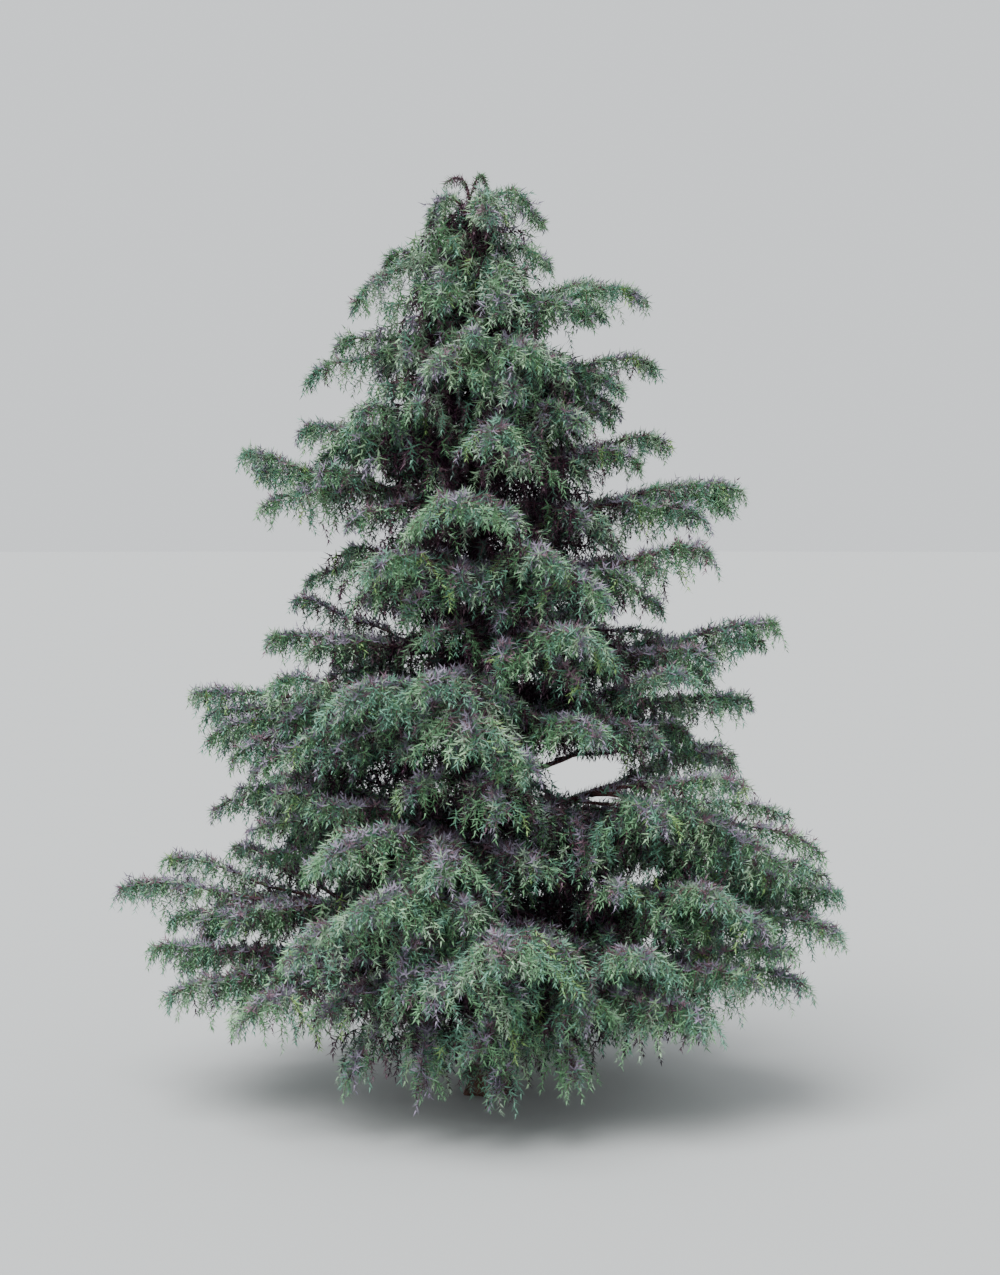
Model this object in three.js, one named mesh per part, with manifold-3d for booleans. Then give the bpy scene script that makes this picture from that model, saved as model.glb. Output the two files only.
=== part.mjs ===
// A young Japanese cedar, 2.43 m tall, rooted in the ground: one trunk, its main boughs, and the
// masses of hanging needle sprays that the boughs carry. Millimetres, +Z up, foot of the trunk at 0.
// Turns are degrees round the trunk: 0 is right, 90 the back, 180 left, 270 the front.
import * as THREE from "three";
import { mergeVertices } from "three/addons/utils/BufferGeometryUtils.js";
import Module from "manifold-3d";

const wasm = await Module();
wasm.setup();

// Trunk
const TRUNK_TOP = 2330;
const TRUNK_LEAN = -52; // sideways, at the top
const TRUNK_SIDES = 12;
const FOOT_RADIUS = 62; // on the root flare, at the ground
const FLARE_HEIGHT = 150;
const STEM_RADIUS = 43; // just above the flare
const TOP_RADIUS = 5;
const ROOT_RIDGES = 5;
const RIDGE_SHARE = 0.16; // how far the root ridges stand out, as a share of the radius

// Boughs and sprays
const SEAM = 0.3; // clear gap between two pieces that meet
const BOUGH_SIDES = 7;
const BOUGH_RINGS = 4;
const BOUGH_SLENDERNESS = 68; // reach over the radius at the trunk
const STEM_SIDES = 3;
const RIB_PITCH = 50; // between the ribs of a core
const TOOTH_DROP = 70; // how much lower a core's hem hangs at its teeth
const LEAF_START = 0.16; // share of a bough's length where its foliage begins
const BARE_LEAF_START = 0.22; // the same where the first stretch is a limb of its own
const FORK_LEAF_START = 0.3; // the same on a side bough
const DROOP = 0.9; // fall of a side twig over its length
const ROOM = 24; // between the rib ends of one plume and those of another
const GROWTH = [0.16, 0.3, 0.44, 0.58, 0.72, 0.86, 1]; // the steps in which ribs grow out
const DRAW_IN = 0.75; // what is left of a rib that has come too near a neighbour
const SPRAY_LENGTH = 86; // of the spray at a bough's tip
const SPRAY_WIDTH = 32; // half the width across its side points
const SPRAY_THICKNESS = 12;
const TIP_SINK = 70; // how far back from a bough's tip its spray is rooted
const KEEP_CLEAR = 0.8; // least gap to another mass or a limb
const GROUND_ROOM = 60; // nothing hangs lower than this
const NUDGES = [0, 0.04, 0.09]; // tried in turn where two pieces of a mass meet edge on edge

// An opening right of the trunk, through which one sees past the crown
const GAP = { across: 258, height: 852, slope: -0.115, halfWidth: 92, halfHeight: 44 };

// Height, and the crown's reach there
const CROWN_PROFILE = [
  [250, 780],
  [450, 900],
  [700, 840],
  [950, 760],
  [1250, 690],
  [1550, 610],
  [1850, 430],
  [2050, 330],
  [2250, 220],
  [2440, 60],
];

// Boughs at the back
const BACK_BOUGHS = 12;
const BACK_LOWEST = 330;
const BACK_HIGHEST = 2060;
const BACK_TURNS = [62, 118, 88, 140, 45, 103];
const BACK_FORK = 36; // degrees between a back bough and its side bough

// Short side boughs that close the crown's inside
const INNER_FROM = 350; // reach of the shortest bough that has a side bough near the trunk
const INNER_FORK = 40; // degrees between the two

// Boughs at the front and sides
// Name, height at the trunk, turn, reach, tip's height, arch over the chord, half width, bare at first
const BOUGHS = [
  ["top_right", 2322, 0, 145, 2310, 66, 85, false],
  ["top_left", 2300, 186, 150, 2316, 60, 85, false],
  ["shoulder_left", 2186, 178, 262, 2212, 38, 95, false],
  ["shoulder_right", 2196, 330, 185, 2197, 36, 95, false],
  ["high_right", 2066, 355, 410, 2127, 14, 120, false],
  ["high_left", 1936, 172, 400, 2002, 30, 130, false],
  ["high_front", 1896, 288, 380, 1947, 45, 160, false],
  ["upper_right", 1886, 4, 448, 1952, 12, 120, false],
  ["upper_left", 1706, 178, 492, 1777, 14, 135, false],
  ["upper_front", 1746, 311, 370, 1792, 34, 180, false],
  ["brow_right", 1656, 6, 476, 1754, 0, 140, false],
  ["wing_left", 1576, 181, 640, 1724, -30, 170, true],
  ["wing_right", 1484, 2, 672, 1632, 18, 180, true],
  ["wing_low_right", 1346, 342, 600, 1464, 0, 175, false],
  ["chest_front", 1496, 263, 550, 1572, 30, 220, false],
  ["chest_right", 1376, 288, 530, 1442, 28, 180, false],
  ["chest_left", 1366, 241, 560, 1422, 34, 210, false],
  ["middle_left", 1156, 182, 575, 1234, 8, 150, false],
  ["middle_right", 1116, 358, 760, 1282, -28, 170, true],
  ["middle_front", 1196, 293, 600, 1252, 18, 195, false],
  ["broad_left", 966, 184, 775, 1094, 6, 180, true],
  ["waist_left", 1046, 238, 640, 1107, 34, 230, false],
  ["waist_front", 1086, 258, 620, 1142, 20, 190, false],
  ["waist_right", 986, 3, 700, 1072, -6, 155, false],
  ["waist_front_right", 986, 296, 620, 1032, 12, 175, false],
  ["lap_front", 886, 281, 600, 947, 16, 165, false],
  ["lap_back_left", 626, 150, 715, 727, 10, 150, false],
  ["lap_back_right", 706, 36, 830, 902, -10, 170, true],
  ["hip_right", 726, 325, 770, 892, 24, 215, true],
  ["hip_front", 646, 240, 730, 752, 40, 225, false],
  ["skirt_left", 436, 182, 975, 578, 4, 170, true],
  ["hem_left", 306, 192, 880, 442, 0, 175, false],
  ["skirt_front_left", 486, 250, 810, 642, 30, 240, false],
  ["skirt_front", 386, 273, 860, 532, 52, 255, true],
  ["skirt_right", 426, 350, 925, 582, 16, 190, true],
  ["hem_right", 256, 323, 820, 432, 14, 210, false],
];

// Side boughs
// Parent, share of its length where it leaves, turn, reach, tip's height, arch over the chord, half width
const SIDE_BOUGHS = [
  ["top_right", 0.12, 272, 165, 2297, 55, 75],
  ["top_left", 0.12, 92, 165, 2297, 50, 75],
  ["shoulder_left", 0.2, 197, 358, 2092, 36, 120],
  ["shoulder_right", 0.15, 277, 300, 2052, 46, 120],
  ["high_right", 0.22, 18, 325, 2162, 14, 95],
  ["high_left", 0.18, 186, 468, 1912, 14, 120],
  ["high_front", 0.16, 250, 390, 1917, 38, 140],
  ["upper_left", 0.2, 214, 390, 1822, 30, 150],
  ["upper_front", 0.2, 271, 450, 1717, 40, 165],
  ["wing_left", 0.36, 192, 590, 1582, 12, 140],
  ["chest_right", 0.25, 302, 560, 1347, 24, 165],
  ["middle_left", 0.2, 165, 540, 1330, 6, 120],
  ["broad_left", 0.36, 194, 675, 937, 4, 150],
  ["broad_left", 0.34, 208, 590, 1137, 22, 170],
  ["waist_front", 0.25, 268, 670, 1002, 24, 190],
  ["waist_right", 0.36, 327, 580, 1162, 16, 170],
  ["waist_front_right", 0.22, 322, 560, 997, 20, 160],
  ["lap_front", 0.22, 272, 610, 827, 22, 150],
  ["lap_back_left", 0.3, 170, 540, 690, 0, 135],
  ["hip_right", 0.42, 308, 690, 812, 20, 190],
  ["hip_front", 0.24, 262, 710, 702, 18, 180],
  ["skirt_left", 0.4, 173, 880, 637, 8, 120],
  ["skirt_left", 0.34, 161, 740, 644, 22, 135],
  ["hem_left", 0.4, 202, 860, 347, 12, 160],
  ["skirt_front_left", 0.38, 238, 850, 522, 34, 205],
  ["skirt_front", 0.36, 261, 800, 432, 22, 180],
  ["skirt_right", 0.36, 338, 955, 512, 20, 170],
  ["hem_right", 0.3, 300, 760, 512, 20, 190],
  ["hip_right", 0.3, 338, 900, 715, 10, 190],
  ["hem_left", 0.12, 232, 640, 330, 40, 170],
  ["hem_right", 0.1, 268, 700, 300, 46, 180],
  ["hem_right", 0.14, 292, 660, 350, 40, 170],
  ["skirt_front", 0.28, 292, 460, 505, 30, 170],
  ["waist_left", 0.08, 262, 380, 1030, 30, 160],
  ["chest_left", 0.08, 266, 350, 1380, 30, 150],
  ["middle_front", 0.08, 250, 420, 1255, 30, 160],
  ["shoulder_left", 0.1, 245, 260, 2085, 36, 110],
  ["upper_right", 0.06, 282, 340, 1850, 36, 130],
  ["brow_right", 0.06, 282, 370, 1680, 36, 140],
  ["wing_low_right", 0.05, 276, 400, 1300, 30, 150],
  ["lap_front", 0.06, 248, 500, 870, 30, 175],
  ["hip_right", 0.28, 298, 520, 690, 24, 170],
  ["skirt_right", 0.28, 318, 620, 520, 24, 180],
  ["waist_front_right", 0.06, 277, 420, 1085, 30, 160],
  ["hip_front", 0.06, 275, 460, 600, 30, 170],
  ["skirt_right", 0.26, 303, 600, 640, 24, 170],
  ["upper_left", 0.06, 238, 330, 1830, 30, 120],
  ["hem_right", 0.4, 335, 880, 395, 16, 150],
  ["hem_right", 0.34, 311, 800, 330, 16, 165],
  ["hip_right", 0.44, 329, 860, 690, 14, 160],
  ["skirt_right", 0.42, 324, 830, 560, 14, 165],
  ["hem_left", 0.3, 222, 790, 330, 16, 165],
  ["skirt_right", 0.3, 335, 880, 690, 24, 180],
  ["skirt_right", 0.27, 315, 800, 640, 24, 180],
  ["waist_left", 0.2, 214, 600, 960, 24, 170],
  ["hip_front", 0.12, 220, 560, 830, 30, 170],
  ["hip_front", 0.1, 284, 560, 690, 30, 170],
  ["high_left", 0.06, 266, 330, 1990, 30, 120],
  ["skirt_front_left", 0.1, 268, 520, 420, 40, 160],
  ["back_4", 0.08, 84, 650, 805, 24, 150],
  ["back_6", 0.08, 50, 610, 1115, 20, 150],
  ["back_8", 0.08, 62, 540, 1425, 20, 140],
];

// A repeatable number from 0 to 1 for a pair of counting numbers.
function chance(a, b) {
  const x = Math.sin(a * 127.1 + b * 311.7) * 43758.5453;
  return x - Math.floor(x);
}

function around(turn, reach, height) {
  const angle = THREE.MathUtils.degToRad(turn);
  return new THREE.Vector3(reach * Math.cos(angle), reach * Math.sin(angle), height);
}

function between(a, b, share) {
  return a + (b - a) * share;
}

function crownReach(height) {
  const last = CROWN_PROFILE.length - 1;
  const above = CROWN_PROFILE.findIndex(([level]) => level >= height);
  const i = above < 0 ? last : Math.max(above, 1);
  const [z0, r0] = CROWN_PROFILE[i - 1];
  const [z1, r1] = CROWN_PROFILE[i];
  return between(r0, r1, THREE.MathUtils.clamp((height - z0) / (z1 - z0), 0, 1));
}

function trunkCentre(height) {
  const share = height / TRUNK_TOP;
  const sway = 9 * Math.sin(share * Math.PI * 2.2);
  return new THREE.Vector3(TRUNK_LEAN * share * share + sway, sway * 0.6, height);
}

function trunkRadius(height) {
  const flare = Math.max(0, 1 - height / FLARE_HEIGHT);
  const taper = Math.pow(1 - height / TRUNK_TOP, 0.85);
  return between(TOP_RADIUS, STEM_RADIUS, taper) + (FOOT_RADIUS - STEM_RADIUS) * flare * flare;
}

// A closed body through rings of equal point counts, each end closed by a fan.
function skin(rings) {
  const n = rings[0].length;
  const points = rings.flat();
  const faces = [];
  for (let r = 0; r + 1 < rings.length; r++)
    for (let i = 0; i < n; i++) {
      const a = r * n + i;
      const b = r * n + ((i + 1) % n);
      faces.push(a, b, b + n, a, b + n, a + n);
    }
  const end = (rings.length - 1) * n;
  for (let i = 1; i + 1 < n; i++) {
    faces.push(0, i + 1, i);
    faces.push(end, end + i, end + i + 1);
  }
  return body(points, faces);
}

// A solid from points and triangles, turned right side out if it has to be.
function body(points, faces) {
  const geometry = new THREE.BufferGeometry().setFromPoints(points).setIndex(faces);
  const merged = mergeVertices(geometry, 1e-3);
  const vertProperties = merged.attributes.position.array;
  const triVerts = new Uint32Array(merged.index.array);
  const made = new wasm.Manifold(new wasm.Mesh({ numProp: 3, vertProperties, triVerts }));
  if (made.volume() >= 0) return made;
  for (let i = 0; i < triVerts.length; i += 3)
    [triVerts[i + 1], triVerts[i + 2]] = [triVerts[i + 2], triVerts[i + 1]];
  return new wasm.Manifold(new wasm.Mesh({ numProp: 3, vertProperties, triVerts }));
}

// Two directions square to a line: one level, one as near upright as it can be.
function cross(direction) {
  const side = new THREE.Vector3(0, 0, 1).cross(direction);
  if (side.lengthSq() < 1e-6) side.set(1, 0, 0);
  side.normalize();
  return { side, up: direction.clone().cross(side).normalize() };
}

function ring(centre, direction, radius, sides) {
  const { side, up } = cross(direction);
  return Array.from({ length: sides }, (_, i) => {
    const angle = (i / sides) * Math.PI * 2;
    return centre
      .clone()
      .addScaledVector(side, Math.cos(angle) * radius)
      .addScaledVector(up, Math.sin(angle) * radius);
  });
}

// A tapering round limb along a path from share t0 to t1.
function limb(path, t0, t1, r0, r1, sides, rings) {
  return skin(
    Array.from({ length: rings }, (_, i) => {
      const s = i / (rings - 1);
      const t = between(t0, t1, s);
      return ring(path.getPoint(t), path.getTangent(t), between(r0, r1, s), sides);
    }),
  );
}

function trunkSolid(grown = 0) {
  const levels = [0, 35, 80, 150, 300, 620, 980, 1340, 1680, 1980, 2200, TRUNK_TOP];
  return skin(
    levels.map((height, k) => {
      const centre = trunkCentre(height);
      const flare = Math.max(0, 1 - height / FLARE_HEIGHT);
      const past = k === levels.length - 1 ? grown : 0;
      const below = k === 0 ? grown : 0;
      return Array.from({ length: TRUNK_SIDES }, (_, i) => {
        const angle = (i / TRUNK_SIDES) * Math.PI * 2;
        const ridge = 1 + RIDGE_SHARE * flare * Math.cos(ROOT_RIDGES * angle + 0.6);
        const radius = trunkRadius(height) * ridge + grown;
        return new THREE.Vector3(
          centre.x + radius * Math.cos(angle),
          centre.y + radius * Math.sin(angle),
          height + past - below,
        );
      });
    }),
  );
}

// The line a bough follows: from its root, over its arch, to its tip.
function boughPath(root, tip, arch, lead) {
  const middle = root.clone().lerp(tip, 0.5);
  middle.z += 2 * arch;
  if (lead) {
    const forward = lead.clone().multiplyScalar(root.distanceTo(tip) * 0.3);
    middle.lerp(root.clone().add(forward), 0.45);
  }
  return new THREE.QuadraticBezierCurve3(root, middle, tip);
}

function mainPlume([name, foot, turn, reach, height, arch, spread, bare], index) {
  const root = trunkCentre(foot);
  const path = boughPath(root, around(turn, reach, height), arch);
  const stemRadius = Math.max(3.2, reach / BOUGH_SLENDERNESS);
  const leafStart = bare ? BARE_LEAF_START : LEAF_START;
  return { name, index, path, spread, bare, reach, stemRadius, leafStart, onTrunk: true };
}

function sidePlume([parent, at, turn, reach, height, arch, spread], index, plumes) {
  const carrier = plumes.find((p) => p.name === parent && p.onTrunk);
  const root = carrier.path.getPoint(at);
  const lead = carrier.path.getTangent(at);
  const path = boughPath(root, around(turn, reach, height), arch, lead);
  const stemRadius = carrier.stemRadius * 0.62;
  const leafStart = FORK_LEAF_START;
  return { name: parent, index, path, spread, reach, stemRadius, leafStart, onTrunk: false };
}

// Boughs at the back, spaced evenly up the trunk, each with a side bough towards the nearer flank.
function backRows() {
  const boughs = [];
  const sides = [];
  for (let k = 0; k < BACK_BOUGHS; k++) {
    const share = k / (BACK_BOUGHS - 1);
    const tip = between(BACK_LOWEST, BACK_HIGHEST, share);
    const turn = BACK_TURNS[k % BACK_TURNS.length] + 10 * (chance(k, 3) - 0.5);
    const reach = crownReach(tip) * between(0.94, 1.04, chance(k, 5));
    const rise = reach * between(0.14, 0.22, chance(k, 7));
    const spread = between(220, 120, share);
    const name = "back_" + (k + 1);
    boughs.push([name, tip - rise, turn, reach, tip, between(10, 34, share), spread, k === 2]);
    const way = turn > 90 ? -1 : 1;
    const fork = turn - way * BACK_FORK * between(0.85, 1.15, chance(k, 9));
    const drop = between(-70, -30, chance(k, 11));
    sides.push([name, 0.34, fork, reach * 0.92, tip + drop, between(12, 34, share), spread * 0.85]);
  }
  return { boughs, sides };
}

// Short side boughs near the trunk, on two boughs out of three and on every one at the back.
function innerRows(boughs) {
  const rows = [];
  boughs.forEach(([name, foot, turn, reach, tip, , spread, bare], k) => {
    if (reach < INNER_FROM || (k % 3 === 2 && k < BOUGHS.length)) return;
    const way = k % 2 ? 1 : -1;
    const fork = turn + way * INNER_FORK * between(0.8, 1.2, chance(k, 21));
    const short = reach * between(0.5, 0.62, chance(k, 23));
    const height = between(foot, tip, 0.5) - between(0, 50, chance(k, 25));
    rows.push([name, bare ? BARE_LEAF_START + 0.04 : 0.06, fork, short, height, 24, spread * 0.8]);
  });
  return rows;
}

function allPlumes() {
  const back = backRows();
  const boughs = [...BOUGHS, ...back.boughs];
  const plumes = boughs.map(mainPlume);
  for (const row of [...SIDE_BOUGHS, ...back.sides, ...innerRows(boughs)])
    plumes.push(sidePlume(row, plumes.length, plumes));
  return plumes;
}

// Half the width of a plume at share u of its leafy length: full along its middle, narrow at its tip.
function plumeWidth(plume, u) {
  const swell = Math.pow(Math.sin(Math.PI * Math.pow(between(0.2, 0.985, u), 0.85)), 0.62);
  return plume.spread * between(0.14, 1, swell);
}

function leafShare(plume, u) {
  return between(plume.leafStart, 1, u);
}

// The ribs that hang from a plume's stem, left and right in turn, every other one a long tooth.
function ribsOf(plume) {
  const leafy = plume.path.getLength() * (1 - plume.leafStart);
  const count = Math.max(6, Math.round(leafy / RIB_PITCH));
  const ribs = [];
  for (let i = 0; i < count; i++)
    for (const hand of [1, -1]) {
      const u = between(0.02, 1, i / (count - 1));
      const t = leafShare(plume, u);
      const ragged = between(0.8, 1.15, chance(plume.index, i * 2 + (hand + 1) / 2 + 300));
      const tooth = (i + (hand > 0 ? 1 : 0)) % 2 === 0;
      const length = plumeWidth(plume, u) * ragged * (tooth ? 1 : 0.66);
      const drop = tooth ? TOOTH_DROP * ragged * between(1, 0.25, u) : 0;
      const tangent = plume.path.getTangent(t);
      const root = plume.path.getPoint(t);
      ribs.push({ u, hand, length, drop, tangent, root, ...cross(tangent), share: 0 });
    }
  return ribs;
}

// The end of a rib that has grown to a share of its length.
function ribEnd(rib, share) {
  const out = Math.max(6, rib.length * share);
  const end = rib.root.clone().addScaledVector(rib.side, rib.hand * out);
  end.addScaledVector(rib.up, -out * DROOP).addScaledVector(rib.tangent, out * 0.25);
  end.z -= rib.drop * share;
  return end;
}

// Points that foliage has taken, sorted into cubes, each with its plume.
const taken = new Map();

function cubeOf(point) {
  return point.toArray().map((v) => Math.floor(v / ROOM));
}

function take(point, plume) {
  const key = cubeOf(point).join();
  if (!taken.has(key)) taken.set(key, []);
  taken.get(key).push({ point, plume });
}

function inGap({ x, y, z }) {
  const middle = GAP.height + GAP.slope * y;
  return Math.abs(x - GAP.across) < GAP.halfWidth && Math.abs(z - middle) < GAP.halfHeight;
}

function isFree(point, plume) {
  const [x, y, z] = cubeOf(point);
  for (let i = x - 1; i <= x + 1; i++)
    for (let j = y - 1; j <= y + 1; j++)
      for (let k = z - 1; k <= z + 1; k++)
        for (const other of taken.get([i, j, k].join()) ?? [])
          if (other.plume !== plume && other.point.distanceTo(point) < ROOM) return false;
  const fromTrunk = point.clone().setZ(0).distanceTo(trunkCentre(point.z).setZ(0));
  const bark = trunkRadius(Math.min(point.z, TRUNK_TOP));
  return point.z > GROUND_ROOM && !inGap(point) && fromTrunk > bark + 12;
}

// All ribs grow out together, a step at a time; one that comes near another plume stops.
function growRibs(plumes) {
  for (const plume of plumes) {
    const step = 22 / plume.path.getLength();
    for (let t = plume.leafStart; t < 1; t += step) take(plume.path.getPoint(t), plume);
    plume.ribs = ribsOf(plume);
  }
  for (const share of GROWTH)
    for (const plume of plumes)
      for (const rib of plume.ribs.filter((r) => !r.stopped)) {
        const end = ribEnd(rib, share);
        const above = end.clone();
        above.z += rib.drop * share * 0.5;
        rib.stopped = !isFree(end, plume) || !isFree(above, plume);
        if (rib.stopped) continue;
        rib.share = share;
        take(end, plume);
        take(above, plume);
      }
}

// Four points round a plume's stem: on top, at the right hem, under it and at the left hem.
function coreRing(plume, i) {
  const [right, left] = plume.ribs.slice(2 * i, 2 * i + 2);
  const { u, root, up } = right;
  const half = Math.min(right.length * right.share, left.length * left.share);
  const slim = between(1, 0.25, u * u);
  const top = root.clone().addScaledVector(up, (8 + plume.stemRadius) * slim);
  const belly = root.clone().addScaledVector(up, -Math.min(36, half * 0.4 + 4) * slim);
  return [top, ribEnd(right, right.share), belly, ribEnd(left, left.share)];
}

// One side of a core between two of its rings, as a convex block.
function coreBlock(plume, i, hand) {
  const corners = (ring) => (hand ? [ring[2], ring[3], ring[0]] : ring.slice(0, 3));
  const points = [coreRing(plume, i), coreRing(plume, i + 1)].flatMap(corners);
  return wasm.Manifold.hull(points.map((p) => p.toArray()));
}

// Draws in a plume's ribs wherever they come too near a limb or other foliage, and gives the core's
// two ends. Where that isn't enough, the core is cut shorter.
function fitCore(plume) {
  let first = 0;
  let last = plume.ribs.length / 2 - 1;
  for (let round = 0; round < 14; round++) {
    let fits = true;
    for (let i = first; i < last; i++) {
      for (const hand of [0, 1]) {
        if (!touchesOthers(coreBlock(plume, i, hand), plume)) continue;
        fits = false;
        const ribs = [plume.ribs[2 * i + hand], plume.ribs[2 * i + 2 + hand]];
        for (const rib of ribs) rib.share *= DRAW_IN;
        if (round < 9) continue;
        if (i - first < last - i) first = i + 1;
        else last = i;
      }
    }
    if (last - first < 2) return null;
    if (fits) return [first, last];
  }
  return null;
}

// The dense heart of a plume: a tent over the stem, its hems cut into hanging teeth.
function coreSolid(plume, [first, last]) {
  const blocks = [];
  for (let i = first; i < last; i++) blocks.push(coreBlock(plume, i, 0), coreBlock(plume, i, 1));
  return wasm.Manifold.union(blocks);
}

// A spray of needles: a thin blade with two side points and an end point, thickest at its middle.
function spraySolid(root, along, facing, length, width) {
  const flat = along.clone().cross(facing).normalize();
  const out = flat.clone().cross(along).normalize();
  const at = (x, y, z = 0) =>
    root
      .clone()
      .addScaledVector(flat, x * width)
      .addScaledVector(along, y * length)
      .addScaledVector(out, z);
  const outline = [at(0, 0), at(-1, 0.66), at(-0.34, 0.62), at(0, 1), at(0.34, 0.62), at(1, 0.66)];
  const n = outline.length;
  const points = [...outline, at(0, 0.45, SPRAY_THICKNESS / 2), at(0, 0.45, -SPRAY_THICKNESS / 2)];
  const faces = outline.flatMap((_, i) => [i, (i + 1) % n, n, (i + 1) % n, i, n + 1]);
  return body(points, faces);
}

// The spray at a plume's tip, which carries on along it and nods a little.
function tipSpray(plume) {
  const size = Math.min(1, 0.35 + plume.reach / 900);
  const t = 1 - (TIP_SINK * size) / plume.path.getLength();
  const tangent = plume.path.getTangent(t);
  const along = tangent.clone().multiplyScalar(0.9);
  along.z -= 0.3;
  const { side } = cross(tangent);
  const root = plume.path.getPoint(t);
  return spraySolid(root, along.normalize(), side, SPRAY_LENGTH * size, SPRAY_WIDTH * size);
}

const trunk = trunkSolid();
const trunkRoom = trunkSolid(SEAM);
const plumes = allPlumes();
const limbs = new Map();
const masses = new Map();

// Whether a piece comes too near the trunk, a limb, another mass or the foliage beside it in its own mass.
function touchesOthers(piece, plume) {
  const box = piece.boundingBox();
  const apart = (other) => {
    const b = other.box;
    return [0, 1, 2].some((k) => box.min[k] > b.max[k] + KEEP_CLEAR || box.max[k] < b.min[k] - KEEP_CLEAR);
  };
  const near = (other) => !apart(other) && piece.minGap(other.solid, KEEP_CLEAR) < KEEP_CLEAR * 0.99;
  if (near(boxed(trunk))) return true;
  for (const other of limbs.values()) if (near(other)) return true;
  for (const [name, pieces] of masses)
    for (const other of pieces) {
      if (other.plume === plume || (name === plume.name && other.isStem)) continue;
      if (near(other)) return true;
    }
  return false;
}

function boxed(solid) {
  return { solid, box: solid.boundingBox() };
}

function addPiece(name, solid, plume = null, isStem = false) {
  if (!masses.has(name)) masses.set(name, []);
  masses.get(name).push({ ...boxed(solid), plume, isStem });
}

// Main boughs: bare tapering limbs from the trunk to where the foliage starts.
for (const plume of plumes.filter((p) => p.bare)) {
  const solid = limb(
    plume.path,
    0,
    plume.leafStart,
    plume.stemRadius,
    plume.stemRadius * 0.72,
    BOUGH_SIDES,
    BOUGH_RINGS,
  );
  limbs.set(plume.name, boxed(solid.subtract(trunkRoom)));
}

// Stems: each mass grows along one, from its bough's tip or from the trunk.
for (const plume of plumes) {
  const length = plume.path.getLength();
  const start = plume.bare ? plume.leafStart + SEAM / length : 0;
  const thick = plume.bare ? plume.stemRadius * 0.72 : plume.stemRadius;
  const rings = plume.bare ? 2 : 3;
  const end = leafShare(plume, 0.2);
  const stem = limb(plume.path, start, end, thick, thick * 0.6, STEM_SIDES, rings);
  addPiece(plume.name, plume.onTrunk && !plume.bare ? stem.subtract(trunkRoom) : stem, plume, true);
}

// The leader: the trunk's own tip carried on into two nodding twigs.
const leaderRoot = trunkCentre(TRUNK_TOP).add(new THREE.Vector3(0, 0, SEAM * 1.4));
const leaderNod = [
  new THREE.QuadraticBezierCurve3(
    leaderRoot,
    leaderRoot.clone().add(new THREE.Vector3(4, 0, 128)),
    leaderRoot.clone().add(new THREE.Vector3(-62, -10, 78)),
  ),
  new THREE.QuadraticBezierCurve3(
    leaderRoot.clone().add(new THREE.Vector3(0, 0, 30)),
    leaderRoot.clone().add(new THREE.Vector3(28, 0, 150)),
    leaderRoot.clone().add(new THREE.Vector3(48, 8, 66)),
  ),
];
leaderNod.forEach((path, i) => {
  addPiece("leader", limb(path, 0, 1, i ? 2.4 : 4.2, 1.4, STEM_SIDES, 6));
  for (const [share, hand] of [[0.45, 1], [0.72, -1], [0.96, 1]]) {
    const tangent = path.getTangent(share);
    const along = tangent.clone().multiplyScalar(0.4);
    along.z -= 0.7;
    along.y += 0.25 * hand;
    const spray = spraySolid(path.getPoint(share), along.normalize(), tangent, 34, 15);
    addPiece("leader", spray);
  }
});

// Cores, then sprays. A piece that would still touch a limb or other foliage is left out.
growRibs(plumes);
for (const plume of plumes) {
  const ends = fitCore(plume);
  if (!ends || touchesOthers(coreSolid(plume, ends), plume)) continue;
  addPiece(plume.name, coreSolid(plume, ends), plume);
  plume.cored = true;
}
for (const plume of plumes.filter((p) => p.cored && p.onTrunk)) {
  const spray = tipSpray(plume);
  if (!touchesOthers(spray, plume)) addPiece(plume.name, spray, plume);
}

// One mass as a single solid. Pieces that meet edge on edge are nudged apart by a hair and joined again.
// Where that doesn't help, they are joined one by one, without a piece that still spoils the skin.
function fused(pieces) {
  for (const nudge of NUDGES) {
    const moved = pieces.map((p, i) => p.solid.translate([0, 0, nudge * (i % 4)]));
    const solid = largestBody(wasm.Manifold.union(moved).simplify(0.05));
    if (isSound(geometryOf(solid))) return solid;
  }
  let whole = pieces[0].solid;
  for (const piece of pieces.slice(1))
    for (const nudge of NUDGES) {
      const joined = whole.add(piece.solid.translate([0, 0, nudge])).simplify(0.05);
      if (!isSound(geometryOf(largestBody(joined)))) continue;
      whole = joined;
      break;
    }
  return largestBody(whole);
}

// The outer skin alone: a scrap is dropped, and a hollow that joining sealed is filled.
function largestBody(solid) {
  return solid.decompose().reduce((a, b) => (b.volume() > a.volume() ? b : a));
}

// Whether each edge still has two faces once points that nearly meet are one.
function isSound(geometry) {
  const { index } = mergeVertices(geometry, 2e-3);
  const edges = new Map();
  for (let i = 0; i < index.count; i += 3) {
    const corners = [index.getX(i), index.getX(i + 1), index.getX(i + 2)];
    if (new Set(corners).size < 3) continue;
    for (let k = 0; k < 3; k++) {
      const ends = [corners[k], corners[(k + 1) % 3]];
      const key = Math.min(...ends) + "-" + Math.max(...ends);
      edges.set(key, (edges.get(key) ?? 0) + 1);
    }
  }
  return [...edges.values()].every((faces) => faces === 2);
}

function geometryOf(solid) {
  const mesh = solid.getMesh();
  const position = new Float32Array(mesh.numVert * 3);
  for (let i = 0; i < mesh.numVert; i++)
    position.set(mesh.vertProperties.subarray(i * mesh.numProp, i * mesh.numProp + 3), i * 3);
  const geometry = new THREE.BufferGeometry();
  geometry.setAttribute("position", new THREE.BufferAttribute(position, 3));
  geometry.setIndex(new THREE.BufferAttribute(new Uint32Array(mesh.triVerts), 1));
  return geometry;
}

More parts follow.
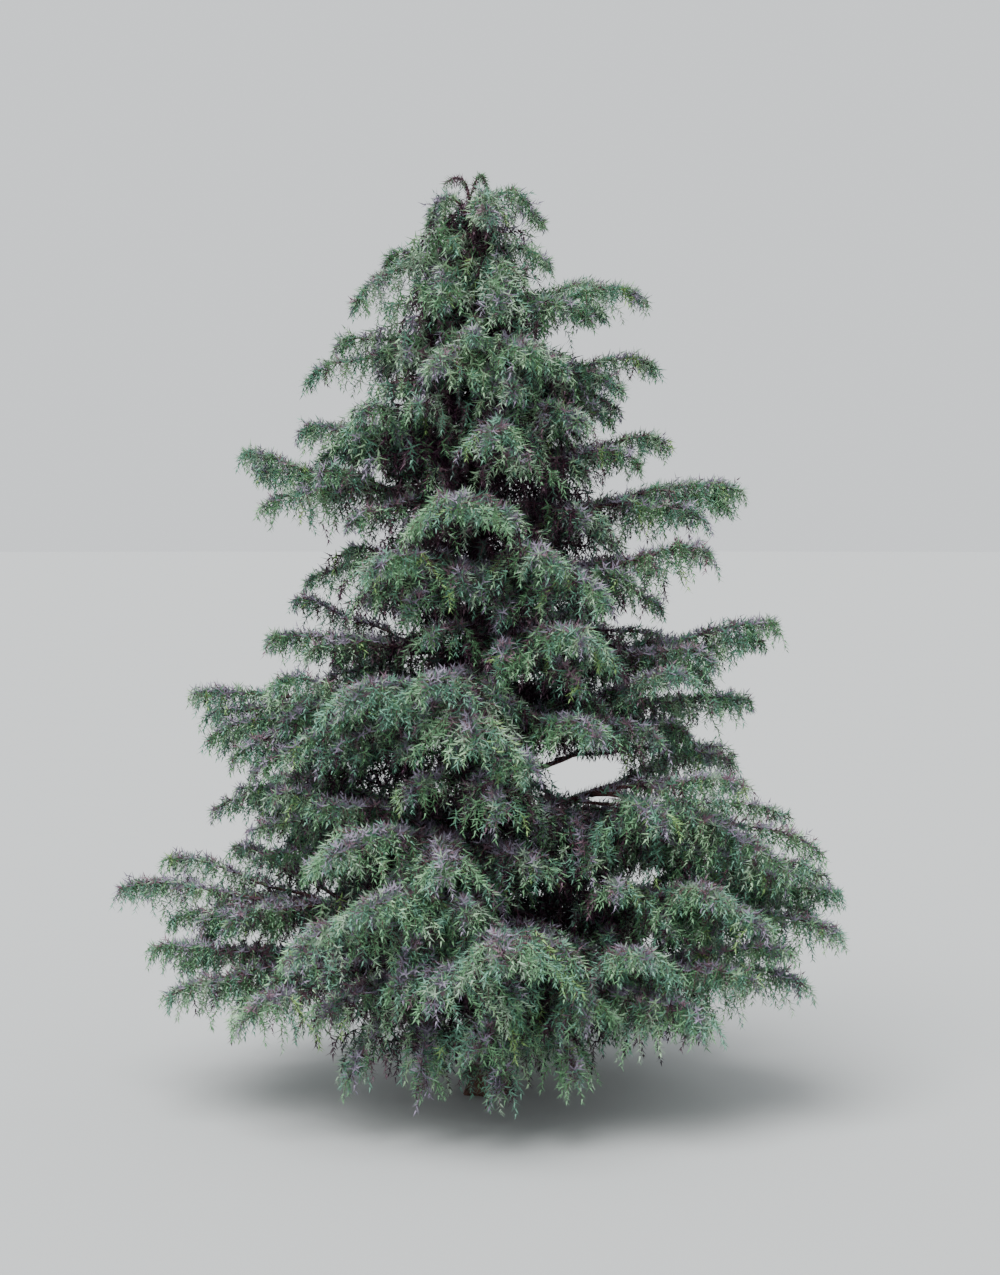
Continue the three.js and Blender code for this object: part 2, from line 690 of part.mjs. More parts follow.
function named(name, solid, material) {
  const geometry = geometryOf(solid);
  geometry.computeVertexNormals();
  const mesh = new THREE.Mesh(geometry, material);
  mesh.name = name;
  return mesh;
}

const bark = new THREE.MeshStandardMaterial({ color: 0x4a3430, roughness: 0.9, metalness: 0 });
const twigBark = new THREE.MeshStandardMaterial({ color: 0x4b2f33, roughness: 0.85, metalness: 0 });
const needles = new THREE.MeshStandardMaterial({ color: 0x4f7358, roughness: 0.6, metalness: 0 });

const tree = new THREE.Group();
tree.add(named("trunk", trunk, bark));
for (const [name, { solid }] of limbs) tree.add(named("bough_" + name, solid, twigBark));
for (const [name, pieces] of masses) tree.add(named("foliage_" + name, fused(pieces), needles));

export default tree;
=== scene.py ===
"""A young Japanese cedar: bark-clad trunk and boughs, and drooping sprays of needles that grow on from
them by the same rule as the solids, in finer twigs. The rule works in millimetres, the meshes in metres.
Turns are degrees round the trunk: 0 is right, 90 the back, 180 left, 270 the front."""

import math

import bpy
import numpy as np
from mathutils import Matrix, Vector


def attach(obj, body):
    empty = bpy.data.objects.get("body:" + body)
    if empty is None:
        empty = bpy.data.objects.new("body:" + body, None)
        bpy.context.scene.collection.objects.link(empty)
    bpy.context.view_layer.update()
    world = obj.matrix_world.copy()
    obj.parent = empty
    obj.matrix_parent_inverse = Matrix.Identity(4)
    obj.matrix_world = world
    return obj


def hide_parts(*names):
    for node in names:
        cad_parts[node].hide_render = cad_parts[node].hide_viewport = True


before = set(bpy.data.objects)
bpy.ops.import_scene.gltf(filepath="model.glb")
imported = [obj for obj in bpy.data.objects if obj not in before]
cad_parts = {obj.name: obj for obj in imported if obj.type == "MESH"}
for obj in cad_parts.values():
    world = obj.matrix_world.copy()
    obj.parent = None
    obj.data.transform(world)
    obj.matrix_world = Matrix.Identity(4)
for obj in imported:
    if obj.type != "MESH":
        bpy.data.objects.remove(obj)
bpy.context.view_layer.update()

# Sizes of the solids' rule
TRUNK_TOP = 2330
TRUNK_LEAN = -52
TRUNK_SWAY = 9
FOOT_RADIUS = 62
FLARE_HEIGHT = 150
STEM_RADIUS = 43
TOP_RADIUS = 5
ROOT_RIDGES = 5
RIDGE_SHARE = 0.16
BOUGH_SLENDERNESS = 68  # reach over radius at the trunk
FORK_THICKNESS = 0.62  # of the bough that it leaves
RIB_PITCH = 50
TOOTH_DROP = 70
SHORT_RIB = 0.66  # of a toothed rib's length
LEAF_START = 0.16  # shares of a bough's length that carry no foliage
BARE_LEAF_START = 0.22
FORK_LEAF_START = 0.3
DROOP = 0.9
ROOM = 24  # between two masses
TRUNK_ROOM = 12
GROWTH = [0.16, 0.3, 0.44, 0.58, 0.72, 0.86, 1]
GROUND_ROOM = 60
STEM_MARK_PITCH = 22
# the window of daylight right of the trunk, which follows the line of sight
GAP = {"across": 258, "height": 852, "slope": -0.115, "half_width": 92, "half_height": 44}
# height, reach
CROWN_PROFILE = [
    (250, 780), (450, 900), (700, 840), (950, 760), (1250, 690),
    (1550, 610), (1850, 430), (2050, 330), (2250, 220), (2440, 60),
]
BACK_BOUGHS = 12
BACK_LOWEST = 330
BACK_HIGHEST = 2060
BACK_TURNS = [62, 118, 88, 140, 45, 103]
BACK_FORK = 36
INNER_FROM = 350
INNER_FORK = 40

# name, height at the trunk, turn, reach, tip's height, arch over the chord, half width, bare at first
BOUGHS = [
    ("top_right", 2322, 0, 145, 2310, 66, 85, False),
    ("top_left", 2300, 186, 150, 2316, 60, 85, False),
    ("shoulder_left", 2186, 178, 262, 2212, 38, 95, False),
    ("shoulder_right", 2196, 330, 185, 2197, 36, 95, False),
    ("high_right", 2066, 355, 410, 2127, 14, 120, False),
    ("high_left", 1936, 172, 400, 2002, 30, 130, False),
    ("high_front", 1896, 288, 380, 1947, 45, 160, False),
    ("upper_right", 1886, 4, 448, 1952, 12, 120, False),
    ("upper_left", 1706, 178, 492, 1777, 14, 135, False),
    ("upper_front", 1746, 311, 370, 1792, 34, 180, False),
    ("brow_right", 1656, 6, 476, 1754, 0, 140, False),
    ("wing_left", 1576, 181, 640, 1724, -30, 170, True),
    ("wing_right", 1484, 2, 672, 1632, 18, 180, True),
    ("wing_low_right", 1346, 342, 600, 1464, 0, 175, False),
    ("chest_front", 1496, 263, 550, 1572, 30, 220, False),
    ("chest_right", 1376, 288, 530, 1442, 28, 180, False),
    ("chest_left", 1366, 241, 560, 1422, 34, 210, False),
    ("middle_left", 1156, 182, 575, 1234, 8, 150, False),
    ("middle_right", 1116, 358, 760, 1282, -28, 170, True),
    ("middle_front", 1196, 293, 600, 1252, 18, 195, False),
    ("broad_left", 966, 184, 775, 1094, 6, 180, True),
    ("waist_left", 1046, 238, 640, 1107, 34, 230, False),
    ("waist_front", 1086, 258, 620, 1142, 20, 190, False),
    ("waist_right", 986, 3, 700, 1072, -6, 155, False),
    ("waist_front_right", 986, 296, 620, 1032, 12, 175, False),
    ("lap_front", 886, 281, 600, 947, 16, 165, False),
    ("lap_back_left", 626, 150, 715, 727, 10, 150, False),
    ("lap_back_right", 706, 36, 830, 902, -10, 170, True),
    ("hip_right", 726, 325, 770, 892, 24, 215, True),
    ("hip_front", 646, 240, 730, 752, 40, 225, False),
    ("skirt_left", 436, 182, 975, 578, 4, 170, True),
    ("hem_left", 306, 192, 880, 442, 0, 175, False),
    ("skirt_front_left", 486, 250, 810, 642, 30, 240, False),
    ("skirt_front", 386, 273, 860, 532, 52, 255, True),
    ("skirt_right", 426, 350, 925, 582, 16, 190, True),
    ("hem_right", 256, 323, 820, 432, 14, 210, False),
]

# parent, share of its length where it leaves, turn, reach, tip's height, arch over the chord, half width
SIDE_BOUGHS = [
    ("top_right", 0.12, 272, 165, 2297, 55, 75),
    ("top_left", 0.12, 92, 165, 2297, 50, 75),
    ("shoulder_left", 0.2, 197, 358, 2092, 36, 120),
    ("shoulder_right", 0.15, 277, 300, 2052, 46, 120),
    ("high_right", 0.22, 18, 325, 2162, 14, 95),
    ("high_left", 0.18, 186, 468, 1912, 14, 120),
    ("high_front", 0.16, 250, 390, 1917, 38, 140),
    ("upper_left", 0.2, 214, 390, 1822, 30, 150),
    ("upper_front", 0.2, 271, 450, 1717, 40, 165),
    ("wing_left", 0.36, 192, 590, 1582, 12, 140),
    ("chest_right", 0.25, 302, 560, 1347, 24, 165),
    ("middle_left", 0.2, 165, 540, 1330, 6, 120),
    ("broad_left", 0.36, 194, 675, 937, 4, 150),
    ("broad_left", 0.34, 208, 590, 1137, 22, 170),
    ("waist_front", 0.25, 268, 670, 1002, 24, 190),
    ("waist_right", 0.36, 327, 580, 1162, 16, 170),
    ("waist_front_right", 0.22, 322, 560, 997, 20, 160),
    ("lap_front", 0.22, 272, 610, 827, 22, 150),
    ("lap_back_left", 0.3, 170, 540, 690, 0, 135),
    ("hip_right", 0.42, 308, 690, 812, 20, 190),
    ("hip_front", 0.24, 262, 710, 702, 18, 180),
    ("skirt_left", 0.4, 173, 880, 637, 8, 120),
    ("skirt_left", 0.34, 161, 740, 644, 22, 135),
    ("hem_left", 0.4, 202, 860, 347, 12, 160),
    ("skirt_front_left", 0.38, 238, 850, 522, 34, 205),
    ("skirt_front", 0.36, 261, 800, 432, 22, 180),
    ("skirt_right", 0.36, 338, 955, 512, 20, 170),
    ("hem_right", 0.3, 300, 760, 512, 20, 190),
    ("hip_right", 0.3, 338, 900, 715, 10, 190),
    ("hem_left", 0.12, 232, 640, 330, 40, 170),
    ("hem_right", 0.1, 268, 700, 300, 46, 180),
    ("hem_right", 0.14, 292, 660, 350, 40, 170),
    ("skirt_front", 0.28, 292, 460, 505, 30, 170),
    ("waist_left", 0.08, 262, 380, 1030, 30, 160),
    ("chest_left", 0.08, 266, 350, 1380, 30, 150),
    ("middle_front", 0.08, 250, 420, 1255, 30, 160),
    ("shoulder_left", 0.1, 245, 260, 2085, 36, 110),
    ("upper_right", 0.06, 282, 340, 1850, 36, 130),
    ("brow_right", 0.06, 282, 370, 1680, 36, 140),
    ("wing_low_right", 0.05, 276, 400, 1300, 30, 150),
    ("lap_front", 0.06, 248, 500, 870, 30, 175),
    ("hip_right", 0.28, 298, 520, 690, 24, 170),
    ("skirt_right", 0.28, 318, 620, 520, 24, 180),
    ("waist_front_right", 0.06, 277, 420, 1085, 30, 160),
    ("hip_front", 0.06, 275, 460, 600, 30, 170),
    ("skirt_right", 0.26, 303, 600, 640, 24, 170),
    ("upper_left", 0.06, 238, 330, 1830, 30, 120),
    ("hem_right", 0.4, 335, 880, 395, 16, 150),
    ("hem_right", 0.34, 311, 800, 330, 16, 165),
    ("hip_right", 0.44, 329, 860, 690, 14, 160),
    ("skirt_right", 0.42, 324, 830, 560, 14, 165),
    ("hem_left", 0.3, 222, 790, 330, 16, 165),
    ("skirt_right", 0.3, 335, 880, 690, 24, 180),
    ("skirt_right", 0.27, 315, 800, 640, 24, 180),
    ("waist_left", 0.2, 214, 600, 960, 24, 170),
    ("hip_front", 0.12, 220, 560, 830, 30, 170),
    ("hip_front", 0.1, 284, 560, 690, 30, 170),
    ("high_left", 0.06, 266, 330, 1990, 30, 120),
    ("skirt_front_left", 0.1, 268, 520, 420, 40, 160),
    ("back_4", 0.08, 84, 650, 805, 24, 150),
    ("back_6", 0.08, 50, 610, 1115, 20, 150),
    ("back_8", 0.08, 62, 540, 1425, 20, 140),
]

# More boughs that only fill out the masses, in the same form as the side boughs
FILLS = [
    ("hem_right", 0.08, 272, 640, 180, 60, 130),
    ("hem_left", 0.08, 256, 600, 175, 60, 130),
    ("hem_right", 0.1, 289, 640, 200, 50, 130),
    ("hem_right", 0.06, 264, 420, 165, 60, 120),
    ("hip_right", 0.1, 338, 660, 700, 0, 130),
    ("hip_right", 0.1, 352, 640, 735, 0, 130),
    ("lap_back_right", 0.1, 20, 700, 720, 0, 140),
    ("lap_back_right", 0.1, 6, 650, 735, 0, 140),
    ("lap_back_left", 0.1, 186, 650, 850, 20, 140),
    ("lap_back_left", 0.1, 170, 640, 800, 20, 140),
    ("hip_front", 0.1, 208, 620, 850, 30, 140),
    ("hip_front", 0.1, 200, 640, 760, 30, 140),
    ("waist_left", 0.1, 200, 560, 1020, 20, 130),
    ("skirt_left", 0.3, 190, 760, 500, 10, 150),
    ("broad_left", 0.28, 202, 640, 905, 0, 150),
    ("broad_left", 0.28, 176, 620, 900, 0, 150),
    ("waist_left", 0.1, 224, 560, 950, 10, 140),
    ("hip_right", 0.1, 345, 800, 800, -10, 130),
    ("hip_right", 0.1, 332, 840, 640, 10, 150),
    ("broad_left", 0.36, 186, 735, 1035, 0, 130),
    ("broad_left", 0.36, 190, 735, 985, 0, 130),
    ("middle_right", 0.4, 1, 730, 1225, -20, 120),
    ("wing_left", 0.36, 183, 600, 1675, -20, 120),
    ("wing_right", 0.4, 4, 640, 1590, 0, 120),
    ("lap_back_left", 0.1, 184, 620, 645, 0, 140),
    ("skirt_right", 0.24, 340, 700, 600, 10, 150),
    ("skirt_right", 0.24, 358, 780, 620, 10, 150),
    ("skirt_right", 0.4, 344, 900, 640, 10, 130),
    ("hem_right", 0.3, 329, 860, 490, 10, 140),
    ("hem_right", 0.1, 337, 640, 470, 10, 140),
    ("hip_right", 0.1, 343, 760, 690, 0, 150),
    ("skirt_right", 0.2, 348, 720, 680, 20, 150),
    ("lap_back_right", 0.1, 2, 700, 660, 0, 140),
    ("skirt_right", 0.2, 326, 520, 600, 20, 140),
    ("waist_left", 0.06, 205, 420, 930, 10, 140),
    ("lap_back_left", 0.06, 176, 430, 830, 40, 140),
    ("waist_right", 0.06, 340, 420, 1110, 10, 130),
    ("waist_front_right", 0.06, 318, 400, 1080, 10, 130),
    ("skirt_right", 0.12, 335, 430, 520, 10, 130),
    ("hip_right", 0.08, 350, 560, 650, 10, 150),
    ("back_1", 0.1, 100, 560, 240, 40, 130),
    ("back_1", 0.1, 28, 600, 290, 40, 130),
    ("back_2", 0.1, 140, 560, 330, 40, 130),
    ("waist_left", 0.06, 190, 520, 880, 0, 140),
    ("waist_left", 0.06, 212, 400, 900, 20, 130),
    ("hip_front", 0.06, 196, 440, 900, 40, 140),
    ("hip_right", 0.06, 342, 520, 640, 0, 140),
    ("hip_right", 0.06, 318, 340, 560, 20, 130),
    ("lap_back_right", 0.06, 52, 400, 610, 10, 140),
    ("broad_left", 0.1, 196, 480, 870, 0, 130),
    ("back_1", 0.08, 66, 520, 470, 20, 140),
    ("back_2", 0.08, 40, 600, 620, 20, 140),
    ("lap_back_left", 0.08, 146, 620, 600, 10, 130),
    ("hem_left", 0.1, 238, 620, 185, 50, 130),
    ("hem_left", 0.34, 187, 800, 395, 10, 140),
    ("hem_left", 0.3, 198, 740, 330, 10, 140),
    ("skirt_left", 0.4, 187, 830, 500, 0, 130),
    ("skirt_right", 0.4, 352, 860, 525, 0, 130),
    ("hem_right", 0.3, 342, 820, 455, 10, 130),
    ("hip_right", 0.3, 345, 620, 690, 0, 130),
    ("back_9", 0.1, 110, 430, 1560, 20, 130),
    ("back_8", 0.08, 100, 450, 1400, 20, 130),
    ("wing_left", 0.1, 215, 420, 1530, 10, 130),
    ("wing_right", 0.1, 60, 400, 1640, 10, 130),
    ("broad_left", 0.3, 178, 700, 960, 0, 140),
    ("back_4", 0.08, 128, 420, 870, 10, 130),
    ("back_3", 0.08, 36, 700, 590, 20, 130),
    ("back_2", 0.08, 142, 740, 590, 20, 130),
]

# The short boughs that fill out the masses
FILL_FORK = 17  # turn from the bough that they leave
LOW_TIERS = 1500  # below this height a third one hangs under each bough
FILL_LOWEST = 150
MOST_CROSSING = 0.15  # share of a fork's length that may lie in the window

# Clear space round the window
FILL_CLEAR = 40
TWIG_CLEAR = 12
SPRAY_CLEAR = 4
CREST_CLEAR = 30
INNER_CLEAR = 20
OVERHANG = 16  # how far a spray may hang past the window's upper edge
EDGE_SLACK = 6
NO_LIMIT = 1000

# Twigs and branchlets
STEM_SWAY = 5
TIP_NOD = 26
TWIG_PITCH = 35  # between side twigs on one side of a bough
TWIG_LEAST = 16
TWIG_LOWEST = 58
LEAST_GROWN = 0.72  # share of its length that a side twig reaches among its neighbours
BRANCHLET_PITCH = 20  # along a side twig
BRANCHLET_LENGTH = (40, 76)
BRANCHLET_LEAST = 14
BRANCHLET_LOWEST = 26
BRANCHLET_RADIUS = 1.1
BEND_RATE = 3  # how soon a branchlet has turned down
HIDDEN_DEPTH = 0.32  # share of the crown's reach within which most branchlets are left out
HIDDEN_KEPT = 0.25
CURTAIN_PITCH = 12  # sprays that hang from a bough's outer half
CURTAIN_LENGTH = (44, 88)
TIP_SPRAYS = (16, 11)  # at the tips of a bough from the trunk and of a fork
TIP_LENGTH = (46, 76)
CREST_PITCH = 15  # short sprays on a bough's upper side
CREST_LENGTH = (16, 38)
INNER_ROWS = [(130, 1500, 9.0), (1500, 2325, 6.5)]  # thin twigs on the trunk: from, to, step
INNER_FRONT = (1640, 2320, 13.0)  # more of them on the front side
INNER_PITCH = 14  # branchlets along them
INNER_LENGTH = (40, 78)
INNER_RADII = [2.2, 1.9, 1.5, 1.0, 0.5]
INNER_LOWEST = 105
INNER_NEEDLES = {"pitch": 3.8, "size": 1.28}
LEADER_SPRAYS = 13
LEADER_LENGTH = (18, 36)

# Needles
NEEDLE_PITCH = 3.5  # along a branchlet
NEEDLE_LENGTH = 23
NEEDLE_WIDTH = 4.6
NARROWEST = 0.85  # share of that width that small needles keep
STEM_NEEDLE_PITCH = 2.6
TWIG_NEEDLE_PITCH = 5.0
HEM_NEEDLE_PITCH = 5.4
LEADER_NEEDLE_PITCH = 1.3
GOLDEN = math.radians(137.5)

MOST_TRIANGLES = 190_000  # in one piece
rng = np.random.default_rng(7)
UP = np.array([0.0, 0.0, 1.0])


def chance(a, b):
    """A fixed pseudo-random share for two numbers."""
    x = math.sin(a * 127.1 + b * 311.7) * 43758.5453
    return x - math.floor(x)


def around(turn, reach, height):
    a = math.radians(turn)
    return np.array([reach * math.cos(a), reach * math.sin(a), height])


def between(a, b, share):
    return a + (b - a) * share


def unit(v):
    return v / np.maximum(np.linalg.norm(v, axis=-1, keepdims=True), 1e-9)


def crown_reach(height):
    heights, reaches = zip(*CROWN_PROFILE)
    return np.interp(height, heights, reaches)


def trunk_centre(height):
    s = height / TRUNK_TOP
    sway = TRUNK_SWAY * math.sin(s * math.pi * 2.2)
    return np.array([TRUNK_LEAN * s * s + sway, sway * 0.6, height])


def trunk_radius(height):
    flare = max(0.0, 1 - height / FLARE_HEIGHT)
    taper = max(0.0, 1 - height / TRUNK_TOP) ** 0.85
    return between(TOP_RADIUS, STEM_RADIUS, taper) + (FOOT_RADIUS - STEM_RADIUS) * flare * flare


def point_at(path, t):
    t = np.asarray(t, float)[..., None]
    a, b, c = path
    return (1 - t) ** 2 * a + 2 * (1 - t) * t * b + t**2 * c


def tangent_at(path, t):
    t = np.asarray(t, float)[..., None]
    a, b, c = path
    return unit((1 - t) * (b - a) + t * (c - b))


def length_of(path):
    return float(np.linalg.norm(np.diff(point_at(path, np.linspace(0, 1, 60)), axis=0), axis=1).sum())


def cross_of(tangent):
    """Two directions square to a line: one level, one as near upright as it can be."""
    side = np.cross(UP, tangent)
    side = unit(np.where(np.linalg.norm(side, axis=-1, keepdims=True) < 1e-3, [1.0, 0.0, 0.0], side))
    return side, unit(np.cross(tangent, side))


def bough_path(root, tip, arch, lead=None):
    middle = (root + tip) / 2
    middle[2] += 2 * arch
    if lead is not None:
        forward = root + lead * np.linalg.norm(tip - root) * 0.3
        middle = between(middle, forward, 0.45)
    return root, middle, tip


def main_plume(row, index):
    name, foot, turn, reach, height, arch, spread, bare = row
    path = bough_path(trunk_centre(foot), around(turn, reach, height), arch)
    return dict(
        name=name, index=index, path=path, spread=spread, reach=reach,
        radius=max(3.2, reach / BOUGH_SLENDERNESS),
        start=BARE_LEAF_START if bare else LEAF_START, on_trunk=True,
    )


def side_plume(row, index, plumes):
    parent, at, turn, reach, height, arch, spread = row
    carrier = next(p for p in plumes if p["name"] == parent and p["on_trunk"])
    root = point_at(carrier["path"], at)
    lead = tangent_at(carrier["path"], at)
    path = bough_path(root, around(turn, reach, height), arch, lead)
    return dict(
        name=parent, index=index, path=path, spread=spread, reach=reach,
        radius=carrier["radius"] * FORK_THICKNESS, start=FORK_LEAF_START, on_trunk=False,
    )


def back_rows():
    boughs, sides = [], []
    for k in range(BACK_BOUGHS):
        share = k / (BACK_BOUGHS - 1)
        tip = between(BACK_LOWEST, BACK_HIGHEST, share)
        turn = BACK_TURNS[k % len(BACK_TURNS)] + 10 * (chance(k, 3) - 0.5)
        reach = crown_reach(tip) * between(0.94, 1.04, chance(k, 5))
        rise = reach * between(0.14, 0.22, chance(k, 7))
        spread = between(220, 120, share)
        name = f"back_{k + 1}"
        boughs.append((name, tip - rise, turn, reach, tip, between(10, 34, share), spread, k == 2))
        way = -1 if turn > 90 else 1
        fork = turn - way * BACK_FORK * between(0.85, 1.15, chance(k, 9))
        drop = between(-70, -30, chance(k, 11))
        sides.append((name, 0.34, fork, reach * 0.92, tip + drop, between(12, 34, share), spread * 0.85))
    return boughs, sides


def inner_rows(boughs):
    rows = []
    for k, (name, foot, turn, reach, tip, _, spread, bare) in enumerate(boughs):
        if reach < INNER_FROM or (k % 3 == 2 and k < len(BOUGHS)):
            continue
        way = 1 if k % 2 else -1
        fork = turn + way * INNER_FORK * between(0.8, 1.2, chance(k, 21))
        short = reach * between(0.5, 0.62, chance(k, 23))
        height = between(foot, tip, 0.5) - between(0, 50, chance(k, 25))
        foot_share = BARE_LEAF_START + 0.04 if bare else 0.06
        rows.append((name, foot_share, fork, short, height, 24, spread * 0.8))
    return rows


def fill_rows(boughs):
    """Shorter boughs to both sides of each long one and below it, within its mass."""
    rows = []
    for k, (name, foot, turn, reach, tip, _, spread, bare) in enumerate(boughs):
        if reach < INNER_FROM:
            continue
        ways = [(1, 10), (-1, 40)]
        if tip < LOW_TIERS:
            ways += [(0.25, 100)]
        if k >= len(BOUGHS):
            ways += [(2.3, -70), (-2.3, 70)]
        for i, (way, low) in enumerate(ways):
            fork = turn + way * FILL_FORK * between(0.8, 1.3, chance(k, 31 + i))
            short = reach * between(0.7, 0.86, chance(k, 41 + i))
            height = between(foot, tip, short / reach) - low - 30 * chance(k, 51 + i)
            foot_share = 0.34 if bare else 0.2
            rows.append((name, foot_share, fork, short, max(height, FILL_LOWEST), 20, spread * 0.6))
    return rows


def all_plumes():
    """Every bough with its ribs. Those that would close the window are left out."""
    back, back_sides = back_rows()
    boughs = BOUGHS + back
    plumes = [main_plume(row, i) for i, row in enumerate(boughs)]
    for row in SIDE_BOUGHS + back_sides + inner_rows(boughs):
        plumes.append(side_plume(row, len(plumes), plumes))
    grow_ribs(plumes)
    t = np.linspace(0, 1, 60)
    plumes = [p for p in plumes if p["on_trunk"] or in_gap(point_at(p["path"], t)).mean() < MOST_CROSSING]
    t = np.linspace(0, 1, 40)
    for row in FILLS + fill_rows(boughs):
        plume = side_plume(row, len(plumes), plumes)
        if not in_gap(point_at(plume["path"], t), FILL_CLEAR).any():
            plume["ribs"] = ribs_of(plume)
            plumes.append(plume)
    return plumes


def stem_at(plume, t):
    """Points on a bough that sways a little and nods at its tip."""
    t = np.asarray(t, float)
    side, up = cross_of(tangent_at(plume["path"], t))
    phase = plume["index"] * 2.4
    grown = np.minimum(1, t * 3) * STEM_SWAY
    nod = TIP_NOD * np.clip((t - 0.84) / 0.16, 0, 1) ** 2 * min(1, plume["reach"] / 500)
    swayed = side * (grown * np.sin(t * 9 + phase))[..., None]
    risen = up * (grown * np.sin(t * 13 + phase * 1.7))[..., None]
    return point_at(plume["path"], t) + swayed + risen - nod[..., None] * UP


def plume_width(plume, u):
    swell = np.sin(np.pi * between(0.2, 0.985, u) ** 0.85) ** 0.62
    return plume["spread"] * between(0.14, 1, swell)


def ribs_of(plume):
    leafy = length_of(plume["path"]) * (1 - plume["start"])
    count = max(6, round(leafy / RIB_PITCH))
    ribs = []
    for i in range(count):
        for hand in (1, -1):
            u = between(0.02, 1, i / (count - 1))
            t = between(plume["start"], 1, u)
            ragged = between(0.8, 1.15, chance(plume["index"], i * 2 + (hand + 1) / 2 + 300))
            tooth = (i + (1 if hand > 0 else 0)) % 2 == 0
            length = plume_width(plume, u) * ragged * (1 if tooth else SHORT_RIB)
            drop = TOOTH_DROP * ragged * between(1, 0.25, u) if tooth else 0
            tangent = tangent_at(plume["path"], t)
            side, up = cross_of(tangent)
            ribs.append(dict(
                u=u, hand=hand, length=length, drop=drop, tangent=tangent, side=side, up=up, tooth=tooth,
                root=point_at(plume["path"], t), share=0.0, stopped=False,
            ))
    return ribs


def rib_end(rib, share):
    out = max(6, rib["length"] * share)
    sideways = rib["side"] * rib["hand"] * out
    end = rib["root"] + sideways - rib["up"] * out * DROOP + rib["tangent"] * out * 0.25
    end[2] -= rib["drop"] * share
    return end


def in_gap(p, margin=0.0):
    middle = GAP["height"] + GAP["slope"] * p[..., 1]
    across = np.abs(p[..., 0] - GAP["across"]) < GAP["half_width"] + margin
    return across & (np.abs(p[..., 2] - middle) < GAP["half_height"] + margin)


def gap_room(foot):
    """How far a spray may hang from its foot before it closes the opening."""
    top = GAP["height"] + GAP["slope"] * foot[:, 1] + GAP["half_height"]
    near = np.abs(foot[:, 0] - GAP["across"]) < GAP["half_width"] + TWIG_CLEAR
    above = foot[:, 2] > top - EDGE_SLACK
    return np.where(near & above, foot[:, 2] - top + OVERHANG, NO_LIMIT)


def grow_ribs(plumes):
    """All ribs grow out together, a step at a time; one that comes near another plume stops."""
    taken = {}

    def cube(p):
        return tuple(math.floor(v / ROOM) for v in p)

    def take(p, plume):
        taken.setdefault(cube(p), []).append((*p, plume["index"]))

    def is_free(p, plume):
        if p[2] <= GROUND_ROOM or bool(in_gap(p)):
            return False
        centre = trunk_centre(p[2])
        away = math.hypot(p[0] - centre[0], p[1] - centre[1])
        if away <= trunk_radius(min(p[2], TRUNK_TOP)) + TRUNK_ROOM:
            return False
        x, y, z = cube(p)
        for i in (x - 1, x, x + 1):
            for j in (y - 1, y, y + 1):
                for k in (z - 1, z, z + 1):
                    for a, b, c, owner in taken.get((i, j, k), ()):
                        if owner != plume["index"] and math.dist((a, b, c), p) < ROOM:
                            return False
        return True

    for plume in plumes:
        step = STEM_MARK_PITCH / length_of(plume["path"])
        for t in np.arange(plume["start"], 1, step):
            take(point_at(plume["path"], t), plume)
        plume["ribs"] = ribs_of(plume)
    for share in GROWTH:
        for plume in plumes:
            for rib in plume["ribs"]:
                if rib["stopped"]:
                    continue
                end = rib_end(rib, share)
                above = end.copy()
                above[2] += rib["drop"] * share * 0.5
                rib["stopped"] = not is_free(end, plume) or not is_free(above, plume)
                if not rib["stopped"]:
                    rib["share"] = share
                    take(end, plume)
                    take(above, plume)


def colour(code):
    value = [int(code[i : i + 2], 16) / 255 for i in (0, 2, 4)]
    return [v / 12.92 if v <= 0.04045 else ((v + 0.055) / 1.055) ** 2.4 for v in value] + [1.0]


# Colours of the needles, dealt out by spray. The darkest green is painted shade; the plum is partly the
# dark of dead inner needles and partly painted shade
NEEDLE_COLOURS = {
    "green": "66906a",
    "blue_green": "64907c",
    "grey_green": "869d87",
    "pale_green": "93b48f",
    "bright_green": "88ab6a",
    "mauve_grey": "857c8f",
    "mauve_brown": "6b535f",
    "plum": "341a2c",
    "painted_shade_green": "3c4c47",
}
GREEN, BLUE, GREY, PALE, BRIGHT, MAUVE, BROWN, PLUM, SHADE = range(9)


def new_material(name, gloss):
    material = bpy.data.materials.new(name)
    material.use_nodes = True
    shader = material.node_tree.nodes["Principled BSDF"]
    shader.inputs["Specular IOR Level"].default_value = gloss
    return material, shader


def add_node(material, kind, **values):
    """A shader node with inputs set by name, with _ for a space."""
    node = material.node_tree.nodes.new(f"ShaderNode{kind}")
    for name, value in values.items():
        node.inputs[name.replace("_", " ")].default_value = value
    return node


def connect(node, output, other, put_into):
    node.id_data.links.new(node.outputs[output], other.inputs[put_into])


def vary_surface(material, noise, shader, rough, strength, depth):
    """Roughness and relief that both follow a noise."""
    spread = add_node(material, "MapRange", To_Min=rough[0], To_Max=rough[1])
    connect(noise, "Fac", spread, "Value")
    connect(spread, "Result", shader, "Roughness")
    bump = add_node(material, "Bump", Strength=strength, Distance=depth)
    connect(noise, "Fac", bump, "Height")
    connect(bump, "Normal", shader, "Normal")


def plain_nodes(name, base, roughness, noise_scale, strength):
    """A material of one base colour whose sheen and surface vary with noise."""
    material, shader = new_material(name, 0.35)
    shader.inputs["Base Color"].default_value = colour(base)
    place = add_node(material, "TexCoord")
    noise = add_node(material, "TexNoise", Scale=noise_scale, Detail=3)
    connect(place, "Object", noise, "Vector")
    vary_surface(material, noise, shader, (roughness - 0.12, roughness + 0.12), strength, 0.0005)
    return material


